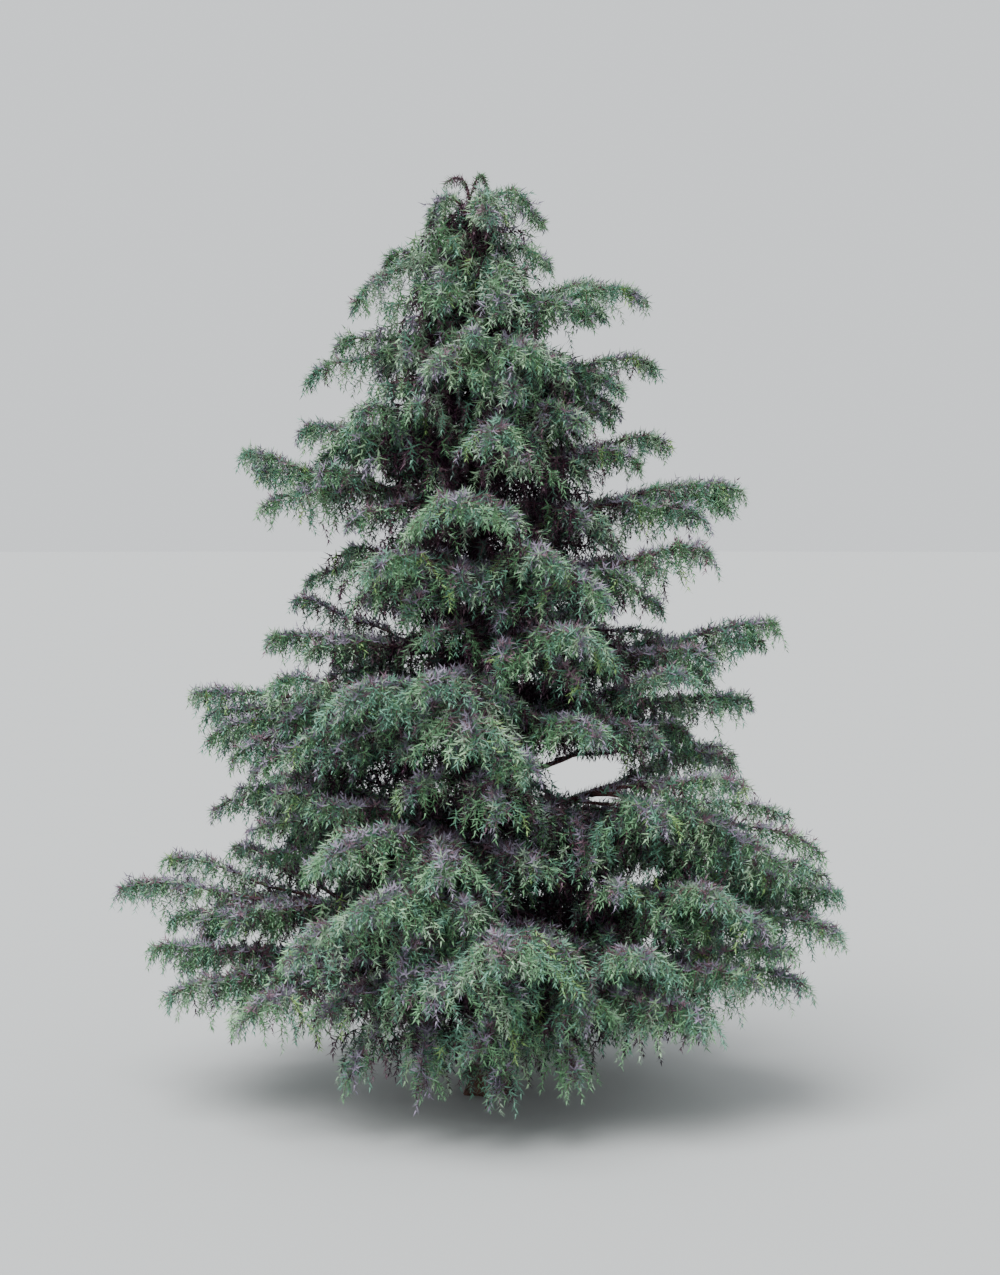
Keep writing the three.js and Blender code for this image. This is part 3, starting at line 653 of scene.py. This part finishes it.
def bark_nodes(name, dark, light, stretch):
    """Fibrous bark: streaks along Z in two tones, with bump."""
    material, shader = new_material(name, 0.25)
    place = add_node(material, "TexCoord")
    scale = add_node(material, "Mapping", Scale=(1.0, 1.0, stretch))
    connect(place, "Object", scale, "Vector")
    streaks = add_node(material, "TexNoise", Scale=120, Detail=6, Roughness=0.62)
    connect(scale, "Vector", streaks, "Vector")
    ramp = add_node(material, "ValToRGB")
    for i, (share, tone) in enumerate([(0.34, dark), (0.66, light)]):
        ramp.color_ramp.elements[i].position = share
        ramp.color_ramp.elements[i].color = colour(tone)
    connect(streaks, "Fac", ramp, "Fac")
    connect(ramp, "Color", shader, "Base Color")
    vary_surface(material, streaks, shader, (0.95, 0.7), 0.7, 0.002)
    return material


NEEDLES = [plain_nodes(f"needles_{name}", code, 0.55, 300, 0.2) for name, code in NEEDLE_COLOURS.items()]
TWIG_BARK = plain_nodes("twig_bark", "5d3f42", 0.75, 500, 0.5)
TRUNK_BARK = bark_nodes("trunk_bark", "33211e", "6f5148", 0.12)
BOUGH_BARK = bark_nodes("bough_bark", "35201f", "69484a", 0.5)


class Heap:
    """Triangles gathered for one kind of thing, kept apart by mass."""

    def __init__(self):
        self.batches, self.counts = {}, {}

    def add(self, mass, points, faces, slots):
        count = self.counts.get(mass, 0)
        batch = points.astype(np.float32), (faces + count).astype(np.int32), slots.astype(np.int32)
        self.batches.setdefault(mass, []).append(batch)
        self.counts[mass] = count + len(points)

    def triangles(self, mass):
        return sum(len(faces) for _, faces, _ in self.batches.get(mass, []))

    def joined(self, masses):
        """Points, faces and slots of several masses."""
        batches, count = [], 0
        for mass in masses:
            batches += [(p, f + count, s) for p, f, s in self.batches.get(mass, [])]
            count += self.counts.get(mass, 0)
        return [np.concatenate(part) for part in zip(*batches)]


needle_heap = Heap()
twig_heap = Heap()


def add_object(name, data):
    obj = bpy.data.objects.new(name, data)
    bpy.context.scene.collection.objects.link(obj)
    return obj


def piece(name, points, faces, slots, materials, smooth):
    mesh = bpy.data.meshes.new(name)
    mesh.vertices.add(len(points))
    mesh.vertices.foreach_set("co", (points * 0.001).astype(np.float32).ravel())
    mesh.loops.add(faces.size)
    mesh.loops.foreach_set("vertex_index", faces.astype(np.int32).ravel())
    mesh.polygons.add(len(faces))
    mesh.polygons.foreach_set("loop_start", np.arange(0, faces.size, 3, dtype=np.int32))
    mesh.polygons.foreach_set("material_index", slots.astype(np.int32))
    for material in materials:
        mesh.materials.append(material)
    mesh.update()
    if smooth:
        mesh.shade_smooth()
    return add_object(name, mesh)


def deal(heap, names, label, materials, smooth):
    """Joins the masses from the ground up into pieces of fewer triangles than the limit."""
    groups, total = [[]], 0
    for name in names:
        more = heap.triangles(name)
        if groups[-1] and total + more > MOST_TRIANGLES:
            groups.append([])
            total = 0
        groups[-1].append(name)
        total += more
    for i, group in enumerate(groups):
        p, f, s = heap.joined(group)
        obj = piece(f"{label}_{i + 1}", p, f, s, materials, smooth)
        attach(obj, "root")
        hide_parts(*[f"foliage_{name}" for name in group])


def round_angles(sides):
    return np.arange(sides) / sides * 2 * np.pi


def rim_of(side, up, sides):
    """Directions all round a line, from two that are square to it."""
    angle = round_angles(sides)
    return np.cos(angle)[:, None] * side[..., None, :] + np.sin(angle)[:, None] * up[..., None, :]


def repeated(faces, copies, step):
    """The faces of one thing for many alike, whose points follow each other."""
    return (np.array(faces)[None] + (np.arange(copies) * step)[:, None, None]).reshape(-1, 3)


def tubes(lines, radii, sides):
    """Tapering twigs through lines of points (n, k, 3), with radii (n, k), each ending in a point."""
    n, k, _ = lines.shape
    side, up = cross_of(unit(np.gradient(lines, axis=1)))
    rings = lines[:, :, None, :] + rim_of(side, up, sides) * radii[:, :, None, None]
    body = rings[:, :-1].reshape(n, (k - 1) * sides, 3)
    points = np.concatenate([body, lines[:, -1:]], axis=1)
    per = points.shape[1]
    faces = []
    for r in range(k - 2):
        for i in range(sides):
            a, b = r * sides + i, r * sides + (i + 1) % sides
            faces += [(a, b, b + sides), (a, b + sides, a + sides)]
    last = (k - 2) * sides
    faces += [(last + i, last + (i + 1) % sides, per - 1) for i in range(sides)]
    return points.reshape(-1, 3), repeated(faces, n, per)


def spindles(lines, radius):
    """Thin twigs bent once: two points and a ring of three between them (n, 3, 3)."""
    side, up = cross_of(unit(lines[:, 2] - lines[:, 0]))
    ring = lines[:, 1, None] + radius * rim_of(side, up, 3)
    points = np.concatenate([lines[:, :1], ring, lines[:, 2:]], axis=1)
    faces = [(0, 2, 1), (0, 3, 2), (0, 1, 3), (4, 1, 2), (4, 2, 3), (4, 3, 1)]
    return points.reshape(-1, 3), repeated(faces, len(lines), 5)


def add_twigs(mass, points, faces):
    twig_heap.add(mass, points, faces, np.zeros(len(faces)))


def add_needles(mass, points, along, square, turn, tilt, length, width, slots):
    """One slender pointed needle each: a triangle broad at its foot, leaning out from its twig."""
    other = np.cross(along, square)
    out = np.cos(turn)[:, None] * square + np.sin(turn)[:, None] * other
    lean = np.cos(tilt)[:, None] * along + np.sin(tilt)[:, None] * out
    flat = unit(np.cross(lean, out)) * (width / 2)
    foot = points + out * 0.6
    tip = foot + lean * length[:, None]
    corners = np.stack([foot - flat, foot + flat, tip], axis=1).reshape(-1, 3)
    needle_heap.add(mass, corners, np.arange(len(corners)).reshape(-1, 3), slots)


def in_order(counts):
    """For many rows of things: which row each belongs to, and its number in that row."""
    owner = np.repeat(np.arange(len(counts)), counts)
    return owner, np.arange(len(owner)) - np.repeat(np.cumsum(counts) - counts, counts)


def along_lines(lines, owner, spot):
    """Points at fractional places `spot` on the lines (n, k, 3), with their directions."""
    i = spot.astype(int)
    rest = (spot - i)[:, None]
    a, b = lines[owner, i], lines[owner, i + 1]
    return a * (1 - rest) + b * rest, unit(b - a)


def bend(s):
    """How far along its first direction a branchlet has come at a share of its length."""
    return (1 - np.exp(-BEND_RATE * s)) / BEND_RATE


def branchlets(mass, foot, way, length, slots, fall=1.0, pitch=NEEDLE_PITCH, size=1.0):
    """Hanging branchlets: each leaves its twig one way, bends down and is set all round with needles."""
    if not len(foot):
        return
    way = unit(way)
    down = unit(way * 0.12 - UP * fall)
    length = np.minimum(length, np.minimum(foot[:, 2] - BRANCHLET_LOWEST, gap_room(foot)))
    keep = length > BRANCHLET_LEAST
    foot, way, down, length, slots = foot[keep], way[keep], down[keep], length[keep], slots[keep]
    if not len(foot):
        return

    # it leaves its twig along `way` and has mostly turned `down` after a third of its length
    s = np.array([0.0, 0.3, 1.0])[None, :, None]
    course = way[:, None] * bend(s) + down[:, None] * (s - bend(s))
    add_twigs(mass, *spindles(foot[:, None] + length[:, None, None] * course, BRANCHLET_RADIUS))

    count = np.maximum(5, (length / pitch).astype(int))
    owner, order = in_order(count)
    share = (order + 0.7) / count[owner] + rng.uniform(-0.4, 0.4, len(owner)) / count[owner]
    share = np.clip(share, 0.02, 1)
    w, d, long = way[owner], down[owner], length[owner]
    where = foot[owner] + long[:, None] * (w * bend(share)[:, None] + d * (share - bend(share))[:, None])
    turned = (1 - np.exp(-BEND_RATE * share))[:, None]
    along = unit(w * (1 - turned) + d * turned)
    square = np.cross(w, d)
    thin = np.linalg.norm(square, axis=1) < 0.05
    square[thin] = np.cross(w[thin], [1.0, 0.3, 0.1])
    square = unit(square)
    turn = order * GOLDEN + rng.uniform(0, 6.28, len(foot))[owner]
    tilt = np.radians(between(72, 40, share**1.6) + rng.uniform(-10, 10, len(owner)))
    size_now = size * between(1, 0.72, share**2) * rng.uniform(0.82, 1.12, len(owner))
    width = NEEDLE_WIDTH * max(NARROWEST, size)
    add_needles(mass, where, along, square, turn, tilt, NEEDLE_LENGTH * size_now, width, slots[owner])


def fuzz(mass, lines, pitch, slots, size, lift):
    """Needles set along twigs (n, k, 3), more of them on top."""
    n, k, _ = lines.shape
    steps = np.linalg.norm(np.diff(lines, axis=1), axis=2)
    total = steps.sum(axis=1)
    count = np.maximum(2, (total / pitch).astype(int))
    owner, order = in_order(count)
    share = np.clip((order + rng.uniform(0.1, 0.9, len(owner))) / count[owner], 0, 0.999)
    where, along = along_lines(lines, owner, share * (k - 1))
    side, _ = cross_of(along)
    turn = order * GOLDEN + rng.uniform(0, 6.28, n)[owner]
    turn = np.where(np.sin(turn) < -lift, -turn, turn)
    tilt = np.radians(rng.uniform(42, 74, len(owner)))
    long = NEEDLE_LENGTH * size * rng.uniform(0.8, 1.15, len(owner))
    add_needles(mass, where, along, side, turn, tilt, long, NEEDLE_WIDTH, slots[owner])


def pick(count, choices, weights):
    """Slots drawn by weight."""
    return rng.choice(choices, size=count, p=np.array(weights) / sum(weights))


def tops(count, height):
    """Slots for the needles on the upper side of a bough: mauve low down, greener high in the tree."""
    slots = pick(count, [MAUVE, BROWN, GREY, BLUE], [54, 26, 12, 8])
    greener = rng.uniform(size=count) < np.interp(height, [1500, 2100], [0.05, 0.6])
    slots[greener] = pick(int(greener.sum()), [GREEN, GREY, PALE, BLUE], [20, 40, 15, 25])
    return slots


def greens(count, height, depth):
    """Slots for hanging sprays: paler high in the tree as painted light; browner deep inside, both for
    dead inner needles and as painted shade.
    """
    high = np.clip((height - 1500) / 800, 0, 1)
    slots = pick(count, [GREEN, BLUE, GREY, PALE, BRIGHT], [40, 30, 15, 12, 3])
    # painted light: sprays high in the tree are made paler, as if lit by the sky all round
    painted_top_light = rng.uniform(size=count) < 0.75 * high
    slots[painted_top_light] = pick(int(painted_top_light.sum()), [PALE, BLUE, GREY, MAUVE], [22, 12, 50, 16])
    # deep inside: plum and brown, partly for dead inner needles and partly as painted shade
    dead_and_shaded = rng.uniform(size=count) < np.clip(0.9 - depth * 2.4, 0, 0.8)
    slots[dead_and_shaded] = pick(int(dead_and_shaded.sum()), [PLUM, BROWN], [65, 35])
    return slots


def shade(slots, foot, most):
    """Paints shade into sprays: turns them dark by chance, the more of them the deeper they sit in the
    crown and the lower in the tree.
    """
    depth = np.hypot(foot[:, 0], foot[:, 1]) / crown_reach(foot[:, 2])
    dark = np.interp(depth, [0.3, 0.55, 0.85], [most, most * 0.6, 0.04])
    dark *= np.interp(foot[:, 2], [1550, 2150], [1.0, 0.2])
    shaded_sprays = rng.uniform(size=len(foot)) < dark
    slots[shaded_sprays] = pick(int(shaded_sprays.sum()), [SHADE, PLUM, BROWN], [26, 56, 18])
    return slots


def green_hems(count, height):
    return greens(count, height, np.ones(count))


def tip_mix(count, _):
    return pick(count, [GREEN, BLUE, GREY, MAUVE], [3, 3, 2, 3])


def alternate(order, least, most):
    """Sizes to the left and right by turns."""
    return np.where(order % 2, 1.0, -1.0) * rng.uniform(least, most, len(order))


def scattered(first, last, count):
    """Shares of a bough's length, one in each of many equal steps."""
    return between(first, last, (np.arange(count) + rng.uniform(0, 1, count)) / max(count, 1))


def stem_sprays(
    plume, t, draw_slots, length, ahead, aside, rise, by_turns=False, clear=None, size=1.0, fall=1.0
):
    """Sprays at the shares t of a bough, which leave it forward, aside and upward."""
    k = len(t)
    foot = stem_at(plume, t)
    tangent = tangent_at(plume["path"], t)
    side, up = cross_of(tangent)
    swing = alternate(np.arange(k), *aside) if by_turns else rng.uniform(*aside, k)
    way = tangent * ahead + side * swing[:, None] + up * rng.uniform(*rise, k)[:, None]
    slots = draw_slots(k, foot[:, 2])
    free = np.ones(k, bool) if clear is None else ~in_gap(foot, clear)
    long = rng.uniform(*length, k) * size
    branchlets(plume["name"], foot[free], way[free], long[free], slots[free], fall)


def side_twigs(plume, hand, leafy):
    """Twigs to one hand of a bough (n, 3, 3), with their reach and their place along it."""
    ribs = [r for r in plume["ribs"] if r["hand"] == hand]
    grown = [r["length"] * max(r["share"], LEAST_GROWN) * (1 if r["tooth"] else 1.25) for r in ribs]
    count = max(7, int(leafy / TWIG_PITCH))
    u = (np.arange(count) + (0.25 if hand > 0 else 0.75) + rng.uniform(-0.25, 0.25, count)) / count
    u = np.clip(u, 0, 1) ** 0.85
    out = np.interp(u, [r["u"] for r in ribs], grown) * rng.uniform(0.6, 1.1, count)
    out = np.maximum(out, TWIG_LEAST)
    t = between(plume["start"], 1, u)
    root = stem_at(plume, t)
    tangent = tangent_at(plume["path"], t)
    side, up = cross_of(tangent)
    sweep = rng.uniform(0.16, 0.4, count)
    rise = rng.uniform(0.05, 0.5, count)
    fall = out * DROOP * 0.9 * between(1, 0.6, u**2)
    end = root + side * (hand * out)[:, None] - up * fall[:, None] + tangent * (out * sweep)[:, None]
    knee = root + side * (hand * out * 0.5)[:, None] + up * (out * rise)[:, None]
    knee += tangent * (out * 0.36)[:, None]
    lines = point_at((root[:, None], knee[:, None], end[:, None]), [0, 0.42, 1.0])
    lines[:, :, 2] = np.maximum(lines[:, :, 2], TWIG_LOWEST)
    shown = ~in_gap(lines, TWIG_CLEAR).any(axis=1)
    return lines[shown], out[shown], u[shown]


def dress_side(plume, hand, leafy):
    """The side twigs to one hand, their needles and the branchlets that hang from them."""
    mass = plume["name"]
    lines, out, u = side_twigs(plume, hand, leafy)
    if not len(lines):
        return
    radii = np.clip(out / 70, 0.9, 2.2)[:, None] * np.array([1.0, 0.75, 0.3])
    add_twigs(mass, *tubes(lines, radii, 3))
    fuzz(mass, lines[:, :2], TWIG_NEEDLE_PITCH, tops(len(lines), lines[:, 0, 2]), size=1.05, lift=0.1)
    hems = green_hems(len(lines), lines[:, 0, 2])
    fuzz(mass, lines[:, 1:], HEM_NEEDLE_PITCH, hems, size=1.0, lift=0.5)

    each = np.maximum(3, np.round(out / BRANCHLET_PITCH).astype(int))
    owner, order = in_order(each)
    w = np.clip((order + 0.55 + rng.uniform(-0.25, 0.25, len(owner))) / each[owner], 0.05, 1)
    foot, along = along_lines(lines, owner, w * 1.999)
    level, _ = cross_of(along)
    swing = alternate(order, 0.2, 1.0)
    way = along * 0.5 + level * swing[:, None] + UP * 0.25
    long = rng.uniform(*BRANCHLET_LENGTH, len(owner)) * between(0.72, 1.0, w)
    long *= np.clip(0.55 + out[owner] / 160, 0.6, 1.0) * np.interp(foot[:, 2], [200, 500], [1.5, 1.0])
    depth = np.clip(u[owner] * 0.8 + w * 0.35 + plume["reach"] / 3000 - 0.1, 0, 1)
    slots = greens(len(owner), foot[:, 2], depth)
    alike = rng.uniform(size=len(owner)) < 0.5
    slots[alike] = hems[owner[alike]]
    mauve = (w < 0.4) & (rng.uniform(size=len(owner)) < 0.35)
    slots[mauve] = tops(int(mauve.sum()), foot[mauve, 2])
    # painted shade: sprays deep in the crown are turned dark
    slots = shade(slots, foot, 0.95)
    free = ~in_gap(foot, SPRAY_CLEAR)
    hidden = np.hypot(foot[:, 0], foot[:, 1]) < HIDDEN_DEPTH * crown_reach(foot[:, 2])
    free &= ~hidden | (rng.uniform(size=len(foot)) < HIDDEN_KEPT)
    branchlets(mass, foot[free], way[free], long[free], slots[free])


def dress(plume):
    """Needles along a bough, its side twigs, and the sprays on its stem."""
    leafy = length_of(plume["path"]) * (1 - plume["start"])
    stem = stem_at(plume, np.linspace(plume["start"] * 0.6, 1, 31))[None]
    stems = np.concatenate([stem[:, i : i + 4] for i in range(0, 28, 3)])
    fuzz(plume["name"], stems, STEM_NEEDLE_PITCH, tops(len(stems), stems[:, 0, 2]), size=1.1, lift=0.0)
    for hand in (1, -1):
        dress_side(plume, hand, leafy)

    # a curtain of sprays hangs from the stem's outer half
    t = scattered(0.52, 0.97, int(leafy * 0.5 / CURTAIN_PITCH))
    stem_sprays(
        plume, t, green_hems, CURTAIN_LENGTH,
        ahead=0.5, aside=(0.5, 1.4), rise=(0.1, 0.7), by_turns=True, clear=SPRAY_CLEAR,
    )

    # the bough's own tip nods in a few forward sprays
    size = min(1, 0.35 + plume["reach"] / 900)
    t = np.linspace(0.86, 0.995, TIP_SPRAYS[0] if plume["on_trunk"] else TIP_SPRAYS[1])
    stem_sprays(plume, t, tip_mix, TIP_LENGTH, ahead=0.8, aside=(-1.1, 1.1), rise=(0.0, 0.5), size=size)

    # short sprays stand on the stem's upper side
    t = scattered(plume["start"], 0.97, int(leafy / CREST_PITCH))
    stem_sprays(
        plume, t, tops, CREST_LENGTH,
        ahead=0.7, aside=(-1.2, 1.2), rise=(0.3, 0.9), clear=CREST_CLEAR, fall=0.0,
    )


def masses_by_height(plumes):
    """The masses' names from the ground up, and where their boughs leave the trunk."""
    feet = {p["name"]: p["path"][0][2] for p in plumes if p["on_trunk"]}
    names = sorted(feet, key=feet.get)
    return names, np.array([feet[n] for n in names])


def dress_trunk(plumes):
    """Thin inner twigs on the trunk among the boughs' feet, painted shade near it and green further out.
    """
    heights = np.concatenate([np.arange(*row) for row in INNER_ROWS])
    heights += rng.uniform(-4, 4, len(heights))
    turns = np.cumsum(np.full(len(heights), GOLDEN))
    names, levels = masses_by_height(plumes)
    front = np.arange(*INNER_FRONT)
    heights = np.concatenate([heights, front])
    turns = np.concatenate([turns, np.radians(270 + 48 * np.sin(front * 0.37))])
    widths = np.interp(heights, [150, 500, 1700, 2050], [0.66, 0.58, 0.62, 0.85])
    for height, turn, widest in zip(heights, turns, widths):
        mass = names[int(np.abs(levels - height).argmin())]
        reach = crown_reach(height) * rng.uniform(0.55, 1.0) * widest
        root = trunk_centre(height)
        rise = reach * rng.uniform(-0.12, 0.14)
        tip = root + np.array([math.cos(turn) * reach, math.sin(turn) * reach, rise])
        tip[2] = max(tip[2], INNER_LOWEST)
        path = (root, (root + tip) / 2 + UP * (reach * 0.16), tip)
        line = point_at(path, np.linspace(0, 1, 5))[None]
        if in_gap(line, INNER_CLEAR).any():
            continue
        add_twigs(mass, *tubes(line, np.array([INNER_RADII]), 3))
        k = max(5, int(reach / INNER_PITCH))
        w = (np.arange(k) + 0.6) / k * 0.9 + 0.1
        foot, along = point_at(path, w), tangent_at(path, w)
        side, _ = cross_of(along)
        way = along * 0.5 + side * alternate(np.arange(k), 0.4, 1.0)[:, None]
        # painted shade darkens the sprays near the trunk; they are also browner there for dead inner
        # needles
        slots = shade(greens(k, foot[:, 2], w * reach / crown_reach(height) * 0.5), foot, 1.0)
        branchlets(mass, foot, way, rng.uniform(*INNER_LENGTH, k), slots, **INNER_NEEDLES)


def dress_leader():
    """The two nodding twigs at the tip of the trunk."""
    root = trunk_centre(TRUNK_TOP)
    bends = [
        (root, root + [4, 0, 128], root + [-62, -10, 78]),
        (root + [0, 0, 30], root + [28, 0, 150], root + [48, 8, 66]),
    ]
    for i, path in enumerate(bends):
        path = tuple(np.array(p, float) for p in path)
        line = point_at(path, np.linspace(0, 1, 12))[None]
        add_twigs("leader", *tubes(line, np.linspace(2.4 if i else 4.2, 1.0, 12)[None], 5))
        fuzz("leader", line, LEADER_NEEDLE_PITCH, pick(1, [GREEN, BROWN], [1, 1]), size=0.75, lift=1.0)
        k = LEADER_SPRAYS
        w = np.linspace(0.2, 1.0, k)
        foot, along = point_at(path, w), tangent_at(path, w)
        side = np.tile([0.0, 1.0, 0.0], (k, 1))
        way = along * 0.6 + side * (np.where(np.arange(k) % 2, 1, -1) * 0.7)[:, None]
        slots = pick(k, [GREEN, GREY, BROWN], [4, 3, 3])
        branchlets("leader", foot, way, rng.uniform(*LEADER_LENGTH, k), slots, pitch=2.0, size=0.75)


def relief(angle, height, strength):
    """Fibrous bark ridges: strips that run along and wander a little."""
    wander = 0.35 * np.sin(height * 0.011) + 0.2 * np.sin(height * 0.027 + 2)
    a = angle + wander
    strips = np.sin(a * 13 + 1.3 * np.sin(height * 0.018))
    strips += 0.6 * np.sin(a * 29 + 2.1 * np.sin(height * 0.031 + 1))
    cracks = 0.5 * np.sin(a * 47 + height * 0.05) * np.sin(height * 0.09 + a * 5)
    return strength * (strips + cracks)


def trunk_body():
    """The trunk with its root flare and bark relief, from the flat cut to the tip."""
    sides = 72
    levels = np.concatenate([np.linspace(0, 160, 16), np.linspace(175, TRUNK_TOP, 130)])
    angle = round_angles(sides)
    rings = []
    for height in levels:
        flare = max(0.0, 1 - height / FLARE_HEIGHT)
        radius = trunk_radius(height) * (1 + RIDGE_SHARE * flare * np.cos(ROOT_RIDGES * angle + 0.6))
        radius = radius + relief(angle, height, min(0.9, radius.mean() * 0.022)) - 0.4
        x, y, _ = trunk_centre(height)
        ring = [x + radius * np.cos(angle), y + radius * np.sin(angle), np.full(sides, height)]
        rings.append(np.stack(ring, axis=1))
    return close_rings(np.array(rings))


def close_rings(rings):
    """Points and faces of a skin over k rings of n points, closed by a fan at each end."""
    k, n, _ = rings.shape
    ends = rings[[0, -1]].mean(axis=1)
    points = np.concatenate([rings.reshape(-1, 3), ends])
    here = np.arange(n)
    beside = (here + 1) % n
    start = np.arange(k - 1)[:, None] * n
    last = (k - 1) * n
    a, b = start + here, start + beside
    faces = np.concatenate([
        np.stack([a, b, b + n], axis=-1).reshape(-1, 3),
        np.stack([a, b + n, a + n], axis=-1).reshape(-1, 3),
        np.stack([np.full(n, k * n), beside, here], axis=-1),
        np.stack([np.full(n, k * n + 1), last + here, last + beside], axis=-1),
    ])
    return points, faces


def bough_body(plume):
    """A limb from its root to its tip, a little uneven and swollen at its foot."""
    sides, step = (10, 26) if plume["on_trunk"] else (5, 40)
    length = length_of(plume["path"])
    t = np.linspace(0, 1, max(8, int(length / step)))
    centre = stem_at(plume, t)
    side, up = cross_of(tangent_at(plume["path"], t))
    angle = round_angles(sides)
    radius = plume["radius"] * (0.75 if plume["on_trunk"] else 0.6) * (1 - t) ** 0.9 + 0.9
    waves = 0.05 * np.sin(angle * 3 + t[:, None] * 17) + 0.06 * np.sin(angle * 5 + t[:, None] * 41)
    radius = radius[:, None] * (1 + waves)
    swell = 1 + 0.5 * np.exp(-((t * length / 30) ** 2))
    radius *= swell[:, None]
    return close_rings(centre[:, None] + rim_of(side, up, sides) * radius[:, :, None])


# The tree's pieces
plumes = all_plumes()
for plume in plumes:
    dress(plume)
dress_trunk(plumes)
dress_leader()

points, faces = trunk_body()
trunk = piece("trunk_with_bark", points, faces, np.zeros(len(faces)), [TRUNK_BARK], True)
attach(trunk, "root")
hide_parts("trunk")

parts = [bough_body(p) for p in plumes]
points = np.concatenate([p for p, _ in parts])
offsets = np.cumsum([0] + [len(p) for p, _ in parts])[:-1]
faces = np.concatenate([f + o for (_, f), o in zip(parts, offsets)])
boughs = piece("boughs_with_bark", points, faces, np.zeros(len(faces)), [BOUGH_BARK], True)
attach(boughs, "root")
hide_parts(*[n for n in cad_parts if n.startswith("bough_")])

order = masses_by_height(plumes)[0] + ["leader"]
deal(needle_heap, order, "needles", NEEDLES, False)
deal(twig_heap, order, "twigs", [TWIG_BARK], True)

# Floor, light and camera, in metres and degrees
FLOOR_RADIUS = 150
FLOOR_SIDES = 96
SKY_COLOUR = (0.94, 0.975, 1.0, 1)
SKY_STRENGTH = 1.05
SUN_STRENGTH = 5.9
SUN_SPREAD = 45
SUN_WAY = (0.25, 0.5, -1.0)
EYE = (0.034, -5.9, 1.5)
LOOK_DOWN = 2.76
LENS = 62.99  # millimetres
FILM_WIDTH = 36

floor_mesh = bpy.data.meshes.new("floor")
turns = np.linspace(0, 2 * math.pi, FLOOR_SIDES, endpoint=False)
floor_rim = [(FLOOR_RADIUS * math.cos(a), FLOOR_RADIUS * math.sin(a), 0) for a in turns]
floor_mesh.from_pydata(floor_rim, [], [tuple(range(FLOOR_SIDES))])
floor = add_object("floor", floor_mesh)
floor_mesh.materials.append(plain_nodes("floor_paint", "acaeae", 0.85, 2, 0.0))

world = bpy.data.worlds.new("studio")
world.use_nodes = True
sky = world.node_tree.nodes["Background"].inputs
sky["Color"].default_value = SKY_COLOUR
sky["Strength"].default_value = SKY_STRENGTH
bpy.context.scene.world = world

sun_data = bpy.data.lights.new("soft_overhead", "SUN")
sun_data.energy = SUN_STRENGTH
sun_data.angle = math.radians(SUN_SPREAD)
sun = add_object("soft_overhead", sun_data)
sun.rotation_euler = Vector(SUN_WAY).to_track_quat("-Z", "Y").to_euler()

camera_data = bpy.data.cameras.new("photo_view")
camera_data.lens = LENS
camera_data.sensor_width = FILM_WIDTH
camera = add_object("photo_view", camera_data)
camera.location = EYE
camera.rotation_euler = (math.radians(90 - LOOK_DOWN), 0, 0)
bpy.context.scene.camera = camera
